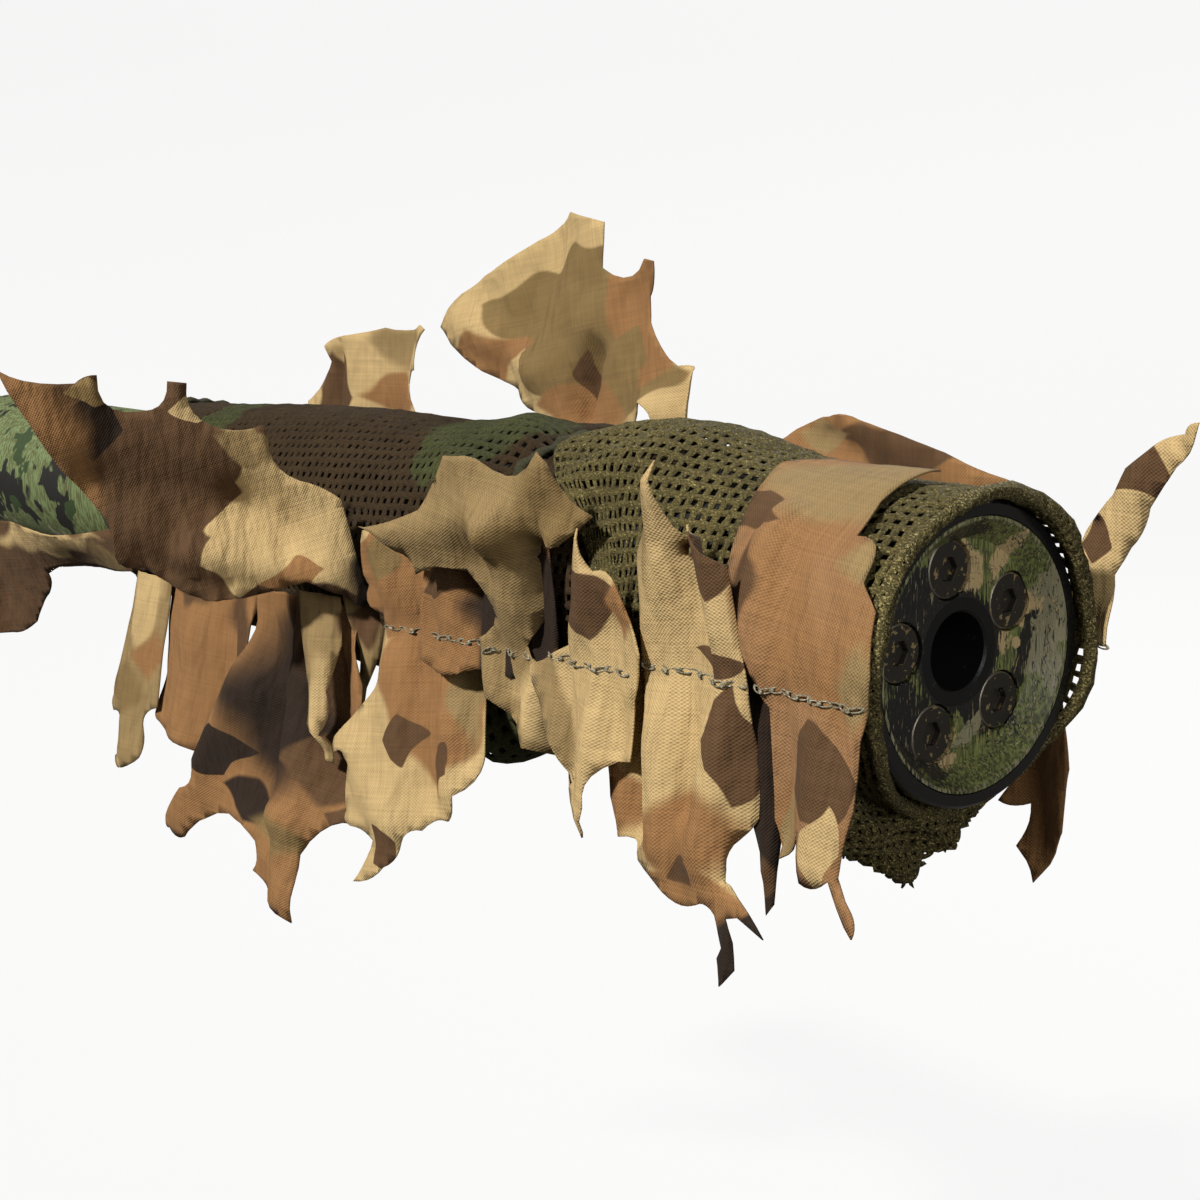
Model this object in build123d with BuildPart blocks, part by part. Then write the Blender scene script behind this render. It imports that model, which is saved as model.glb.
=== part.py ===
"""Training bumper: a float-cored tube with a painted end plate, in a pull-on leaf cover.

Row frame, millimetres: +X out of the front end along the tube's axis, +Z up. The origin is
the centre of the mouth of the blind socket, on the sunk face of the front end plate.
"""
from build123d import *
import os
from math import cos, radians, sin

os.makedirs("parts", exist_ok=True)

# ---- driving dimensions -------------------------------------------------------------------
TUBE_D = 50.0             # outside of the main tube
TUBE_WALL = 3.0
BODY_LEN = 240.0          # main tube, from its front edge to its back edge
RIM_OUT = 4.0             # the front rim stands this far in front of the sunk face
RING_LEN = 12.0           # part of the front ring that shows
RING_SPIGOT = 12.0        # part of the front ring inside the tube
FIT_GAP = 0.05            # radial gap of a glued or pushed-in fit
EASY_GAP = 0.2            # radial gap round the end plate and the anchor disc
PLATE_D = 45.0
PLATE_THICK = 4.0         # plate behind its sunk face
PLATE_RIM = 0.5           # radial width of the plate's rim
PLATE_CONE = 3.5          # radial width of the sloping wall inside the rim
GASKET_THICK = 0.8
ANCHOR_FLANGE = 12.0
SCREW_COUNT = 5
HEAD_TO_BUSH = 0.46       # between the bush's flange and the screw heads
FIRST_SCREW_DEG = 101.2   # from +Y towards +Z
SCREW_D = 5.0
SCREW_LEN = 12.0
HEAD_D = 9.6
HEAD_THICK = 2.0
HEAD_RIM = 0.35
HEX_AF = 4.0
HEX_DEEP = 1.4
HEAD_SINK = 0.2           # heads lie this far under the sunk face
HEAD_GAP = 0.3            # radial gap round a head
INSERT_D = 7.0
INSERT_LEN = 9.0
BORE_R = 6.5              # blind socket for a launcher peg or a cord knot
BORE_DEEP = 46.0
BORE_CHAMFER = 0.4
BUSH_WALL = 1.5
BUSH_LIP = 0.8            # the bush's flange stands this far past its sleeve
BUSH_FLANGE_THICK = 1.5
SOCKET_END = 3.0
FOAM_GAP = 0.3
TAIL_D = 43.0
TAIL_WALL = 3.0
TAIL_LEN = 128.0
STEP_LEN = 10.0           # taper between the main tube and the tail
SPIGOT_LEN = 14.0
CAP_D = 40.0              # grip collar at the rear end
CAP_LEN = 30.0
CAP_EDGE = 1.0
SEAL_D = 2.0
SLEEVE_GAP = 0.3          # the cover slides over the tube with this radial gap
SLEEVE_WALL = 1.9
UNDER_WALL = 1.7          # rear sleeve where the front sleeve lies over it
OVERLAP_BACK = -94.0      # the front sleeve's rear edge
OVERLAP_FRONT = -62.0     # the rear sleeve's front edge
SLEEVE_PAST = 4.0         # the rear sleeve reaches this far past the step ring
FRONT_EDGE = 6.0          # the front sleeve's front edge
HEM_LEN = 4.0
ELASTIC_LEN = 4.0
CLOTH = 0.8               # plate that stands for a cloth leaf
SEAM_R = 0.7              # rolled seam through the middle of each leaf
STITCH = 1.0              # square section of a seam thread's stand-in

# ---- places along the axis ----------------------------------------------------------------
TUBE_R = TUBE_D / 2
TUBE_IN_R = TUBE_R - TUBE_WALL
RING_BACK = RIM_OUT - RING_LEN
BODY_BACK = RING_BACK - BODY_LEN
PLATE_R = PLATE_D / 2
PLATE_BACK = -PLATE_THICK
SEAT_X = PLATE_BACK - GASKET_THICK
SPIGOT_BACK = RING_BACK - RING_SPIGOT
SPIGOT_R = TUBE_IN_R - FIT_GAP
SEAT_R = PLATE_R - 3.0
ANCHOR_BACK = SPIGOT_BACK - ANCHOR_FLANGE
BORE_BACK = -BORE_DEEP
BUSH_R = BORE_R + BUSH_WALL
BUSH_FLANGE_R = BUSH_R + BUSH_LIP
SCREW_CIRCLE_R = BUSH_FLANGE_R + HEAD_TO_BUSH + HEAD_D / 2
TAIL_R = TAIL_D / 2
TAIL_IN_R = TAIL_R - TAIL_WALL
STEP_BACK = BODY_BACK - STEP_LEN
TAIL_BACK = STEP_BACK - TAIL_LEN
CAP_R = CAP_D / 2
CAP_BACK = TAIL_BACK - CAP_LEN
SLEEVE_IN_R = TUBE_R + SLEEVE_GAP
REAR_EDGE = STEP_BACK - SLEEVE_PAST


def screw_places():
    """Screw centres on the end plate as (y, z), the first one near the top."""
    turns = [FIRST_SCREW_DEG - number * 360 / SCREW_COUNT for number in range(SCREW_COUNT)]
    return [(SCREW_CIRCLE_R * cos(radians(a)), SCREW_CIRCLE_R * sin(radians(a))) for a in turns]


def across(x):
    """Sketch plane square to the axis at x, looking out of the front: local x is +Y, y is +Z."""
    return Plane(origin=(x, 0, 0), x_dir=(0, 1, 0), z_dir=(1, 0, 0))


def save(name, part):
    part.label = name
    export_step(part, f"parts/{name}.step")


def turned(name, profile, extra=None):
    """A turned piece: profile lists (x, radius) corners, spun about the X axis."""
    with BuildPart() as piece:
        with BuildSketch(Plane.XY):
            with BuildLine():
                Polyline(*profile, close=True)
            make_face()
        revolve(axis=Axis.X)
        if extra:
            extra()
    save(name, piece.part)


# ---- main tube and front end --------------------------------------------------------------
turned("body_tube", [(BODY_BACK, TUBE_IN_R), (BODY_BACK, TUBE_R),
                     (RING_BACK, TUBE_R), (RING_BACK, TUBE_IN_R)])

# The ring is glued into the tube. Its pocket takes the plate, and the plate seats on its step.
turned("front_ring", [(SPIGOT_BACK, SEAT_R), (SPIGOT_BACK, SPIGOT_R), (RING_BACK, SPIGOT_R),
                      (RING_BACK, TUBE_R), (RIM_OUT - 0.5, TUBE_R), (RIM_OUT, TUBE_R - 0.5),
                      (RIM_OUT, PLATE_R + EASY_GAP), (SEAT_X, PLATE_R + EASY_GAP),
                      (SEAT_X, SEAT_R)])

turned("plate_gasket", [(SEAT_X, SEAT_R), (SEAT_X, PLATE_R), (PLATE_BACK, PLATE_R),
                        (PLATE_BACK, SEAT_R)])

# Dished plate: a sunk flat face, a sloping wall and a narrow rim level with the ring.
flat_r = PLATE_R - PLATE_RIM - PLATE_CONE
bush_hole_r = BUSH_R + FIT_GAP
flange_hole_r = BUSH_FLANGE_R + FIT_GAP
counterbore_r = HEAD_D / 2 + HEAD_GAP
counterbore_x = -(HEAD_SINK + HEAD_THICK)


def plate_screw_holes():
    with BuildSketch(across(0)) as pockets:
        with Locations(*screw_places()):
            Circle(counterbore_r)
    extrude(pockets.sketch, amount=counterbore_x, mode=Mode.SUBTRACT)
    with BuildSketch(across(0)) as holes:
        with Locations(*screw_places()):
            Circle(SCREW_D / 2 + EASY_GAP)
    extrude(holes.sketch, amount=PLATE_BACK, mode=Mode.SUBTRACT)


turned("end_plate", [(PLATE_BACK, bush_hole_r), (PLATE_BACK, PLATE_R), (RIM_OUT, PLATE_R),
                     (RIM_OUT, flat_r + PLATE_CONE), (0, flat_r), (0, flange_hole_r),
                     (-BUSH_FLANGE_THICK, flange_hole_r), (-BUSH_FLANGE_THICK, bush_hole_r)],
       plate_screw_holes)


# The anchor disc draws the plate onto the ring: its flange bears on the spigot's back edge.
def anchor_insert_holes():
    with BuildSketch(across(PLATE_BACK - EASY_GAP)) as holes:
        with Locations(*screw_places()):
            Circle(INSERT_D / 2)
    extrude(holes.sketch, amount=-(INSERT_LEN + 1), mode=Mode.SUBTRACT)


turned("anchor_disc", [(ANCHOR_BACK, BUSH_R + FIT_GAP), (ANCHOR_BACK, TUBE_IN_R - EASY_GAP),
                       (SPIGOT_BACK, TUBE_IN_R - EASY_GAP), (SPIGOT_BACK, SEAT_R - EASY_GAP),
                       (PLATE_BACK - EASY_GAP, SEAT_R - EASY_GAP),
                       (PLATE_BACK - EASY_GAP, BUSH_R + FIT_GAP)], anchor_insert_holes)

with BuildPart() as screw_inserts:
    with BuildSketch(across(PLATE_BACK - EASY_GAP)):
        with Locations(*screw_places()):
            Circle(INSERT_D / 2)
            Circle(SCREW_D / 2, mode=Mode.SUBTRACT)
    extrude(amount=-INSERT_LEN)
save("screw_inserts", screw_inserts.part)

with BuildPart() as cap_screws:
    with BuildSketch(across(-HEAD_SINK)):
        with Locations(*screw_places()):
            Circle(HEAD_D / 2)
    extrude(amount=-HEAD_THICK)
    head_rims = cap_screws.edges().filter_by(GeomType.CIRCLE).group_by(Axis.X)[-1]
    chamfer(head_rims, HEAD_RIM)
    with BuildSketch(across(-HEAD_SINK)):
        with Locations(*screw_places()):
            RegularPolygon(HEX_AF / 2, 6, major_radius=False)
    extrude(amount=-HEX_DEEP, mode=Mode.SUBTRACT)
    with BuildSketch(across(counterbore_x)):
        with Locations(*screw_places()):
            Circle(SCREW_D / 2)
    extrude(amount=-SCREW_LEN + HEAD_THICK)
save("cap_screws", cap_screws.part)

# Blind central socket: a flanged bush closed by an end cup.
turned("centre_bush", [(BORE_BACK, BORE_R), (BORE_BACK, BUSH_R), (-BUSH_FLANGE_THICK, BUSH_R),
                       (-BUSH_FLANGE_THICK, BUSH_FLANGE_R), (0, BUSH_FLANGE_R),
                       (0, BORE_R + BORE_CHAMFER), (-BORE_CHAMFER, BORE_R)])

turned("socket_end", [(BORE_BACK - SOCKET_END, 0), (BORE_BACK - SOCKET_END, BUSH_R),
                      (BORE_BACK, BUSH_R), (BORE_BACK, 0)])

# ---- float core, tail and rear cap --------------------------------------------------------
foam_r = TUBE_IN_R - FOAM_GAP
foam_front = ANCHOR_BACK - FOAM_GAP
foam_back = BODY_BACK + SPIGOT_LEN + FOAM_GAP
pocket_back = BORE_BACK - SOCKET_END - FOAM_GAP
pocket_r = BUSH_R + FOAM_GAP
turned("foam_core", [(foam_back, 0), (foam_back, foam_r), (foam_front, foam_r),
                     (foam_front, pocket_r), (pocket_back, pocket_r), (pocket_back, 0)])

# The step ring carries a spigot into each tube.
reducer_bore_r = TAIL_IN_R - FIT_GAP - 3.0
turned("tail_reducer", [(BODY_BACK + SPIGOT_LEN, reducer_bore_r),
                        (BODY_BACK + SPIGOT_LEN, SPIGOT_R), (BODY_BACK, SPIGOT_R),
                        (BODY_BACK, TUBE_R), (STEP_BACK, TAIL_R),
                        (STEP_BACK, TAIL_IN_R - FIT_GAP),
                        (STEP_BACK - SPIGOT_LEN, TAIL_IN_R - FIT_GAP),
                        (STEP_BACK - SPIGOT_LEN, reducer_bore_r)])

turned("tail_tube", [(TAIL_BACK, TAIL_IN_R), (TAIL_BACK, TAIL_R), (STEP_BACK, TAIL_R),
                     (STEP_BACK, TAIL_IN_R)])

tail_foam_r = TAIL_IN_R - FOAM_GAP
tail_foam_front = STEP_BACK - SPIGOT_LEN - FOAM_GAP
tail_foam_back = TAIL_BACK + SPIGOT_LEN + FOAM_GAP
turned("tail_foam", [(tail_foam_back, 0), (tail_foam_back, tail_foam_r),
                     (tail_foam_front, tail_foam_r), (tail_foam_front, 0)])

seal_x = TAIL_BACK + SPIGOT_LEN / 2
plug_r = TAIL_IN_R - FIT_GAP
groove_r = TAIL_IN_R - SEAL_D
turned("rear_cap", [(CAP_BACK, 0), (CAP_BACK, CAP_R - CAP_EDGE), (CAP_BACK + CAP_EDGE, CAP_R),
                    (TAIL_BACK, CAP_R), (TAIL_BACK, plug_r), (seal_x - SEAL_D / 2, plug_r),
                    (seal_x - SEAL_D / 2, groove_r), (seal_x + SEAL_D / 2, groove_r),
                    (seal_x + SEAL_D / 2, plug_r), (TAIL_BACK + SPIGOT_LEN, plug_r),
                    (TAIL_BACK + SPIGOT_LEN, 0)])

turned("rear_seal", [(seal_x - SEAL_D / 2, groove_r), (seal_x - SEAL_D / 2, TAIL_IN_R),
                     (seal_x + SEAL_D / 2, TAIL_IN_R), (seal_x + SEAL_D / 2, groove_r)])

# ---- mesh sleeves of the cover ------------------------------------------------------------
# Outer profiles swell where the knit is gathered; the inside is one straight bore.
sleeve_r = SLEEVE_IN_R + SLEEVE_WALL
under_r = SLEEVE_IN_R + UNDER_WALL
over_r = under_r + SLEEVE_GAP
gather_back = OVERLAP_BACK - 38
plain_len = gather_back - REAR_EDGE
turned("rear_sleeve", [(REAR_EDGE, SLEEVE_IN_R), (REAR_EDGE, SLEEVE_IN_R + 1.0),
                       (REAR_EDGE + 0.4 * plain_len, SLEEVE_IN_R + 1.2),
                       (REAR_EDGE + 0.7 * plain_len, sleeve_r),
                       (gather_back, sleeve_r + 0.4), (OVERLAP_BACK - 31, sleeve_r + 2.1),
                       (OVERLAP_BACK - 19, sleeve_r + 3.9), (OVERLAP_BACK - 9, sleeve_r + 3.0),
                       (OVERLAP_BACK - ELASTIC_LEN - 0.6, under_r), (OVERLAP_FRONT, under_r),
                       (OVERLAP_FRONT, SLEEVE_IN_R)])

turned("front_sleeve", [(OVERLAP_BACK, over_r), (OVERLAP_BACK, over_r + 1.0),
                        (OVERLAP_BACK + 8, sleeve_r + 2.7), (OVERLAP_BACK + 23, sleeve_r + 4.5),
                        (OVERLAP_BACK + 34, sleeve_r + 4.5), (OVERLAP_BACK + 45, sleeve_r + 3.2),
                        (OVERLAP_BACK + 62, sleeve_r + 1.3), (FRONT_EDGE - 24, sleeve_r),
                        (FRONT_EDGE, sleeve_r), (FRONT_EDGE, SLEEVE_IN_R),
                        (OVERLAP_FRONT + 2, SLEEVE_IN_R), (OVERLAP_FRONT + 2, over_r)])

turned("mid_elastic", [(OVERLAP_BACK - ELASTIC_LEN, over_r), (OVERLAP_BACK - ELASTIC_LEN, over_r + 1),
                       (OVERLAP_BACK, over_r + 1), (OVERLAP_BACK, over_r)])

turned("rear_elastic", [(REAR_EDGE - ELASTIC_LEN, SLEEVE_IN_R),
                        (REAR_EDGE - ELASTIC_LEN, SLEEVE_IN_R + 1.6),
                        (REAR_EDGE, SLEEVE_IN_R + 1.6), (REAR_EDGE, SLEEVE_IN_R)])

turned("front_hem", [(FRONT_EDGE, SLEEVE_IN_R), (FRONT_EDGE, sleeve_r + 0.6),
                     (FRONT_EDGE + HEM_LEN, sleeve_r + 0.6), (FRONT_EDGE + HEM_LEN, SLEEVE_IN_R)])

# ---- cloth leaves -------------------------------------------------------------------------
# A leaf lies in a plane through its seam: root is a point of the seam, turn is the seam's
# direction about Z (180 on the far side), and a lean of 10 tips the leaf's top outwards by
# 10 degrees. Outlines are (along the seam, up, bow): bow is the depth of the round bay that
# is cut between this corner and the next, and 0 is a straight cut.
NEAR, FAR = 0, 180
sleeve_side = sleeve_r + 1.2
gather_side = sleeve_r + 4.6
leaves = {
    "front_leaf": dict(
        root=(-8, -sleeve_side - 0.4, -4), turn=NEAR, below_lean=-4,
        below=[(-12, 0, 0), (-6, -20, 0), (-2, -27, -1), (1, -20, 0), (3, -29, 0), (9, -28, 0),
               (14, -35, 0), (11, -25, 0), (12, -16, 0), (14, 0, 0)]),
    "blade_leaf": dict(
        root=(-34, -sleeve_side - 3, -4), turn=NEAR, above_lean=6, below_lean=-8,
        above=[(-13, 0, 0), (-9, 19, 0), (0, 36, 0), (1, 22, 1), (3, 9, 0), (5, 25, 1),
               (13, 19, 0), (14, 0, 0)],
        below=[(-13, 0, 0), (-19, -26, 0), (-13, -31, 1), (0, -37, 1), (12, -38, 1),
               (15, -50, 0), (18, -41, 1), (15, -33, 2), (19, -22, 0), (14, 0, 0)]),
    "slim_leaf": dict(
        root=(-58, -gather_side - 4.2, -6), turn=NEAR, above_lean=9, below_lean=-5,
        above=[(-6, 0, 0), (2, 25, 1), (8, 15, 0), (12, 0, 0)],
        below=[(-16, 0, 0), (-9, -19, 1), (-1, -32, 1), (4, -16, 0), (12, 0, 0)]),
    "star_leaf": dict(
        root=(-84, -gather_side - 1.4, -8), turn=NEAR, above_lean=8, below_lean=-4,
        above=[(-10, 0, 0), (-6, 9, 0), (-14, 13, 2), (-29, 10, 1), (-48, 18, 1), (-23, 24, 3),
               (-11, 36, 0), (0, 37, 2), (20, 39, 3), (31, 28, 2), (25, 12, 0), (20, 0, 0)],
        below=[(-10, 0, 0), (-6, -12, 2), (12, -24, 1), (18, 0, 0)]),
    "hanging_leaf": dict(
        root=(-114, -gather_side, -9), turn=NEAR, above_lean=3, below_lean=-12,
        above=[(-15, 0, 0), (-17, 12, 2), (6, 7, 2), (18, 9, 0), (20, 0, 0)],
        below=[(-15, 0, 0), (-11, -12, 2), (-26, -29, 2), (-17, -31, 2), (-16, -44, 2),
               (1, -44, 0), (-11, -54, 0), (4, -42, 2), (20, -31, 2), (25, -19, 0), (20, 0, 0)]),
    "big_leaf": dict(
        root=(-133, -sleeve_side - 2, -9), turn=51.3, above_lean=0,
        above=[(-10, 0, 1), (-35, 3, 1), (-54, 17, 1), (-74, 51, 1), (-56, 49, 3), (-41, 48, 2),
               (-32, 39, 1), (-22, 40, 1), (-6, 24, 1), (0, 0, 0)]),
    "curled_leaf": dict(
        root=(-142, -gather_side - 2, -8), turn=NEAR, below_lean=-6,
        below=[(-8, 0, 0), (-6, -22, 1), (0, -42, 1), (2, -20, 0), (3, 0, 0)]),
    "rear_star_leaf": dict(
        root=(-170, -sleeve_side - 2.2, -12), turn=NEAR, below_lean=-10,
        below=[(-8, 0, 0), (-24, -40, 2), (-39, -57, 3), (-30, -59, 4), (-6, -49, 4),
               (1, -60, 0), (23, -66, 1), (24, -51, 3), (37, -28, 2), (25, -13, 0), (21, 0, 0)]),
    "rust_leaf": dict(
        root=(-200, -sleeve_side - 0.4, -12), turn=NEAR, below_lean=-10,
        below=[(-21, 0, 0), (-23, -33, 1), (6, -40, 2), (13, -23, 0), (21, 0, 0)]),
    "narrow_leaf": dict(
        root=(-229, -sleeve_side - 2.2, -12), turn=NEAR, below_lean=-10,
        below=[(-12, 0, 0), (-16, -37, 1), (-8, -50, 1), (1, -46, 1), (6, -33, 0), (7, 0, 0)]),
    "front_flap": dict(
        root=(FRONT_EDGE + 3.5, -9, -sleeve_r - 1.4), turn=70, above_lean=0, below_lean=0,
        above=[(-17, 0, 0), (-18, 9, 1), (-8, 2, 0), (-4, 0, 0)],
        below=[(-17, 0, 0), (-13, -5, 0), (-5, -10, 0), (0, -13, 1), (4, -9, 0), (9, -8, 1),
               (14, 0, 0)]),
    "far_small_leaf": dict(
        root=(REAR_EDGE + 36, sleeve_side - 0.4, -4), turn=FAR, above_lean=0, below_lean=-6,
        above=[(-22, 0, 0), (-27, 28, 2), (-22, 36, 2), (-29, 50, 3), (0, 50, 2), (15, 42, 2),
               (12, 30, 1), (20, 22, 0), (20, 0, 0)],
        below=[(-22, 0, 0), (-24, -18, 2), (-4, -24, 2), (14, -20, 2), (20, 0, 0)]),
    "far_tall_leaf": dict(
        root=(-128, gather_side, -4), turn=FAR, above_lean=6, below_lean=-6,
        above=[(-22, 0, 0), (-24, 32, 2), (-30, 46, 3), (-24, 66, 3), (-10, 73, 3), (4, 74, 1),
               (14, 68, 1), (52, 52, 2), (26, 36, 2), (16, 20, 0), (14, 0, 0)],
        below=[(-22, 0, 0), (-18, -20, 2), (2, -24, 2), (14, 0, 0)]),
    "far_front_leaf": dict(
        root=(-28, gather_side + 0.6, -4), turn=FAR, above_lean=0, below_lean=-3,
        above=[(-14, 0, 0), (-18, 30, 1), (8, 39, 1), (26, 41, 1), (44, 28, 1), (30, 12, 0),
               (24, 0, 0)],
        below=[(-14, 0, 0), (-28, -18, 0), (-30, -32, 1), (-22, -43, 1), (-14, -36, 2),
               (6, -24, 2), (24, 0, 0)]),
    "far_blade_leaf": dict(
        root=(2, sleeve_side + 0.4, -2), turn=FAR, above_lean=4,
        above=[(5, 0, 0), (3, 14, 1), (-8, 28, 1), (-20, 38, 1), (-13, 22, 1), (-5, 0, 0)]),
}


def leaf_plane(leaf, lean):
    """Plane of a leaf's upper or lower half: local x along the seam, local y up the leaf."""
    turn = radians(leaf["turn"])
    tip = radians(lean)
    outwards = (sin(turn), -cos(turn))
    normal = (outwards[0] * cos(tip), outwards[1] * cos(tip), -sin(tip))
    return Plane(origin=leaf["root"], x_dir=(cos(turn), sin(turn), 0), z_dir=normal)


def add_half(leaf, half):
    """Plate from corner to corner of the outline, then straight back along the seam."""
    corners = leaf[half]
    into_leaf = -1 if half == "above" else 1
    with BuildSketch(leaf_plane(leaf, leaf[half + "_lean"])) as cut:
        with BuildLine():
            for (u, v, bow), (next_u, next_v, _) in zip(corners, corners[1:]):
                if bow:
                    SagittaArc((u, v), (next_u, next_v), into_leaf * bow)
                else:
                    Line((u, v), (next_u, next_v))
            Line(corners[-1][:2], corners[0][:2])
        make_face()
    extrude(cut.sketch, amount=CLOTH / 2, both=True)


def seam_span(leaf):
    ends = [point for half in ("above", "below") if half in leaf
            for point in (leaf[half][0][0], leaf[half][-1][0])]
    return min(ends), max(ends)


def seam_plane(leaf, sink=0.0):
    """Plane square to the seam at its low end, sunk inwards or stood outwards."""
    turn = radians(leaf["turn"])
    start = seam_span(leaf)[0]
    x, y, z = leaf["root"]
    origin = (x + start * cos(turn) - sink * sin(turn), y + start * sin(turn) + sink * cos(turn), z)
    return Plane(origin=origin, z_dir=(cos(turn), sin(turn), 0))


def add_seam(leaf):
    low, high = seam_span(leaf)
    with BuildSketch(seam_plane(leaf)) as seam:
        Circle(SEAM_R)
    extrude(seam.sketch, amount=high - low)


for name, leaf in leaves.items():
    with BuildPart() as leaf_part:
        for half in ("above", "below"):
            if half in leaf:
                add_half(leaf, half)
        add_seam(leaf)
    save(name, leaf_part.part)

# The front leaf's upper half is wrapped tight round the sleeve, up its near side and over.
WRAP_BACK, WRAP_FRONT = -31, -3
WRAP_FROM, WRAP_TURN = -8, 106    # degrees up from the near side
wrap_r = sleeve_r + 0.5
swell = 1.4                       # the gathers push the wrap's back edge out
from_below = radians(WRAP_FROM)
with BuildPart() as front_wrap:
    with BuildSketch(Plane(origin=(0, 0, 0), x_dir=(1, 0, 0),
                           z_dir=(0, sin(from_below), -cos(from_below)))):
        with BuildLine():
            Polyline((WRAP_BACK, wrap_r + swell), (FRONT_EDGE - 24, wrap_r), (WRAP_FRONT, wrap_r),
                     (WRAP_FRONT, wrap_r + CLOTH), (FRONT_EDGE - 24, wrap_r + CLOTH),
                     (WRAP_BACK, wrap_r + swell + CLOTH), close=True)
        make_face()
    revolve(axis=Axis.X, revolution_arc=-WRAP_TURN)
save("front_wrap", front_wrap.part)

# The trailing leaf runs back beside the tail, then folds in under it.
FOLD = (REAR_EDGE - 72, -sleeve_side - 0.1, 7 - SLEEVE_IN_R)
FOLD_TURN = -24.4         # about Z
beside = dict(root=FOLD, turn=NEAR)
folded = dict(root=FOLD, turn=FOLD_TURN)
with BuildPart() as trailing_leaf:
    with BuildSketch(leaf_plane(beside, 0)):
        with BuildLine():
            Polyline((0, -8), (0, 1), (70, 15), (92, 16), (92, 5), (47, 0), close=True)
        make_face()
    extrude(amount=CLOTH / 2, both=True)
    with BuildSketch(leaf_plane(folded, 0)):
        with BuildLine():
            Polyline((0, 1), (-20, -3), (-35, -8), (-50, -12), (-62, -14))
            SagittaArc((-62, -14), (-64, -26), 2)
            SagittaArc((-64, -26), (-40, -34), 2)
            Polyline((-40, -34), (-20, -22), (0, -8), (0, 1))
        make_face()
    extrude(amount=CLOTH / 2, both=True)
    with BuildSketch(Plane.XY.offset(FOLD[2] - 8)):
        with Locations(FOLD[:2]):
            Circle(SEAM_R)
    extrude(amount=9)
save("trailing_leaf", trailing_leaf.part)

# ---- seam threads -------------------------------------------------------------------------
stitch_out = SEAM_R + STITCH / 2 + 0.1
for name, turn in (("near_seam_thread", NEAR), ("far_seam_thread", FAR)):
    with BuildPart() as thread:
        for leaf in leaves.values():
            if leaf["turn"] == turn:
                low, high = seam_span(leaf)
                with BuildSketch(seam_plane(leaf, -stitch_out)):
                    Rectangle(STITCH, STITCH)
                extrude(amount=high - low)
    save(name, thread.part)
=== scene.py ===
# %% [markdown]
# # A training bumper in a pull-on leaf cover
#
# The real object is a painted tube with a dished end plate, and over it goes a cover: two
# sleeves of knitted mesh, sewn to leaf shapes that are cut from printed cotton. The tube,
# the screws and the plate are hard parts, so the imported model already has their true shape
# and they only need finishes. The cover is cloth, so each of its pieces is made here.
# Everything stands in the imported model's own frame, in metres. Cloth is planned in
# millimetres, the unit it was cut in, and comes down to metres as it is placed.

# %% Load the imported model
import math

import bmesh
import bpy
from mathutils import Matrix, Vector, noise


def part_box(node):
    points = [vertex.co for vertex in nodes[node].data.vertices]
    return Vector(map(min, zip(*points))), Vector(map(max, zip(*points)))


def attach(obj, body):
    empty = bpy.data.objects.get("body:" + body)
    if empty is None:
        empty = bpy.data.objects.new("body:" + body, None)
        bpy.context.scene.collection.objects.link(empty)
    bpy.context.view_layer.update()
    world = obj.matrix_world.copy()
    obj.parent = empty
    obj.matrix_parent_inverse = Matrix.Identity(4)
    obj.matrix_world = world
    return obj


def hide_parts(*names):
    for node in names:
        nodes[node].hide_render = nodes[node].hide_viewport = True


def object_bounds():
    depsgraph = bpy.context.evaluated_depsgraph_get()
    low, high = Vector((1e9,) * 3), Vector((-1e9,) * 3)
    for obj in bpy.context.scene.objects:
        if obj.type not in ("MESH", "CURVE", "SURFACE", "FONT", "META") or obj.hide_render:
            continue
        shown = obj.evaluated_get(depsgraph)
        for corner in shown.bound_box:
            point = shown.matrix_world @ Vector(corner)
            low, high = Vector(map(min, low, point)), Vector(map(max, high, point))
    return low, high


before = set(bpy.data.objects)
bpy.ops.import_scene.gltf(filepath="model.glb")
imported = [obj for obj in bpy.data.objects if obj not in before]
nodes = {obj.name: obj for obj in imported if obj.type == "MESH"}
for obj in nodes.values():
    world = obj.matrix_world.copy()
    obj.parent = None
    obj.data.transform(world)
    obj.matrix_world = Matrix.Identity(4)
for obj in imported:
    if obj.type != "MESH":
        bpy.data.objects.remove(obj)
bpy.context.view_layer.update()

scene = bpy.context.scene

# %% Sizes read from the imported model, in millimetres
MM = 0.001


def reach(node):
    """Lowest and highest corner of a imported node, in millimetres."""
    low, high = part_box(node)
    return low / MM, high / MM


TUBE_R = reach("body_tube")[1].z
FRONT_EDGE = reach("front_sleeve")[1].x
OVERLAP_BACK = reach("front_sleeve")[0].x
OVERLAP_FRONT = reach("rear_sleeve")[1].x
REAR_EDGE = reach("rear_sleeve")[0].x
print("tube radius", TUBE_R, "sleeve from", REAR_EDGE, "to", FRONT_EDGE)

# %% [markdown]
# ## Camera
#
# The camera looks back along the tube from just outside its front end, a little above it,
# so the end plate is seen nearly face on and the cover runs away to the left. It is made
# first because every piece is judged from here.

# %% Camera
CAMERA_PLACE = Vector((0.1999, -0.2343, 0.0650))
CAMERA_YAW = math.radians(141.3)
CAMERA_PITCH = math.radians(-10.45)
CAMERA_ROLL = math.radians(-0.65)
LENS = 57.5
FILM_WIDE = 36


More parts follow.
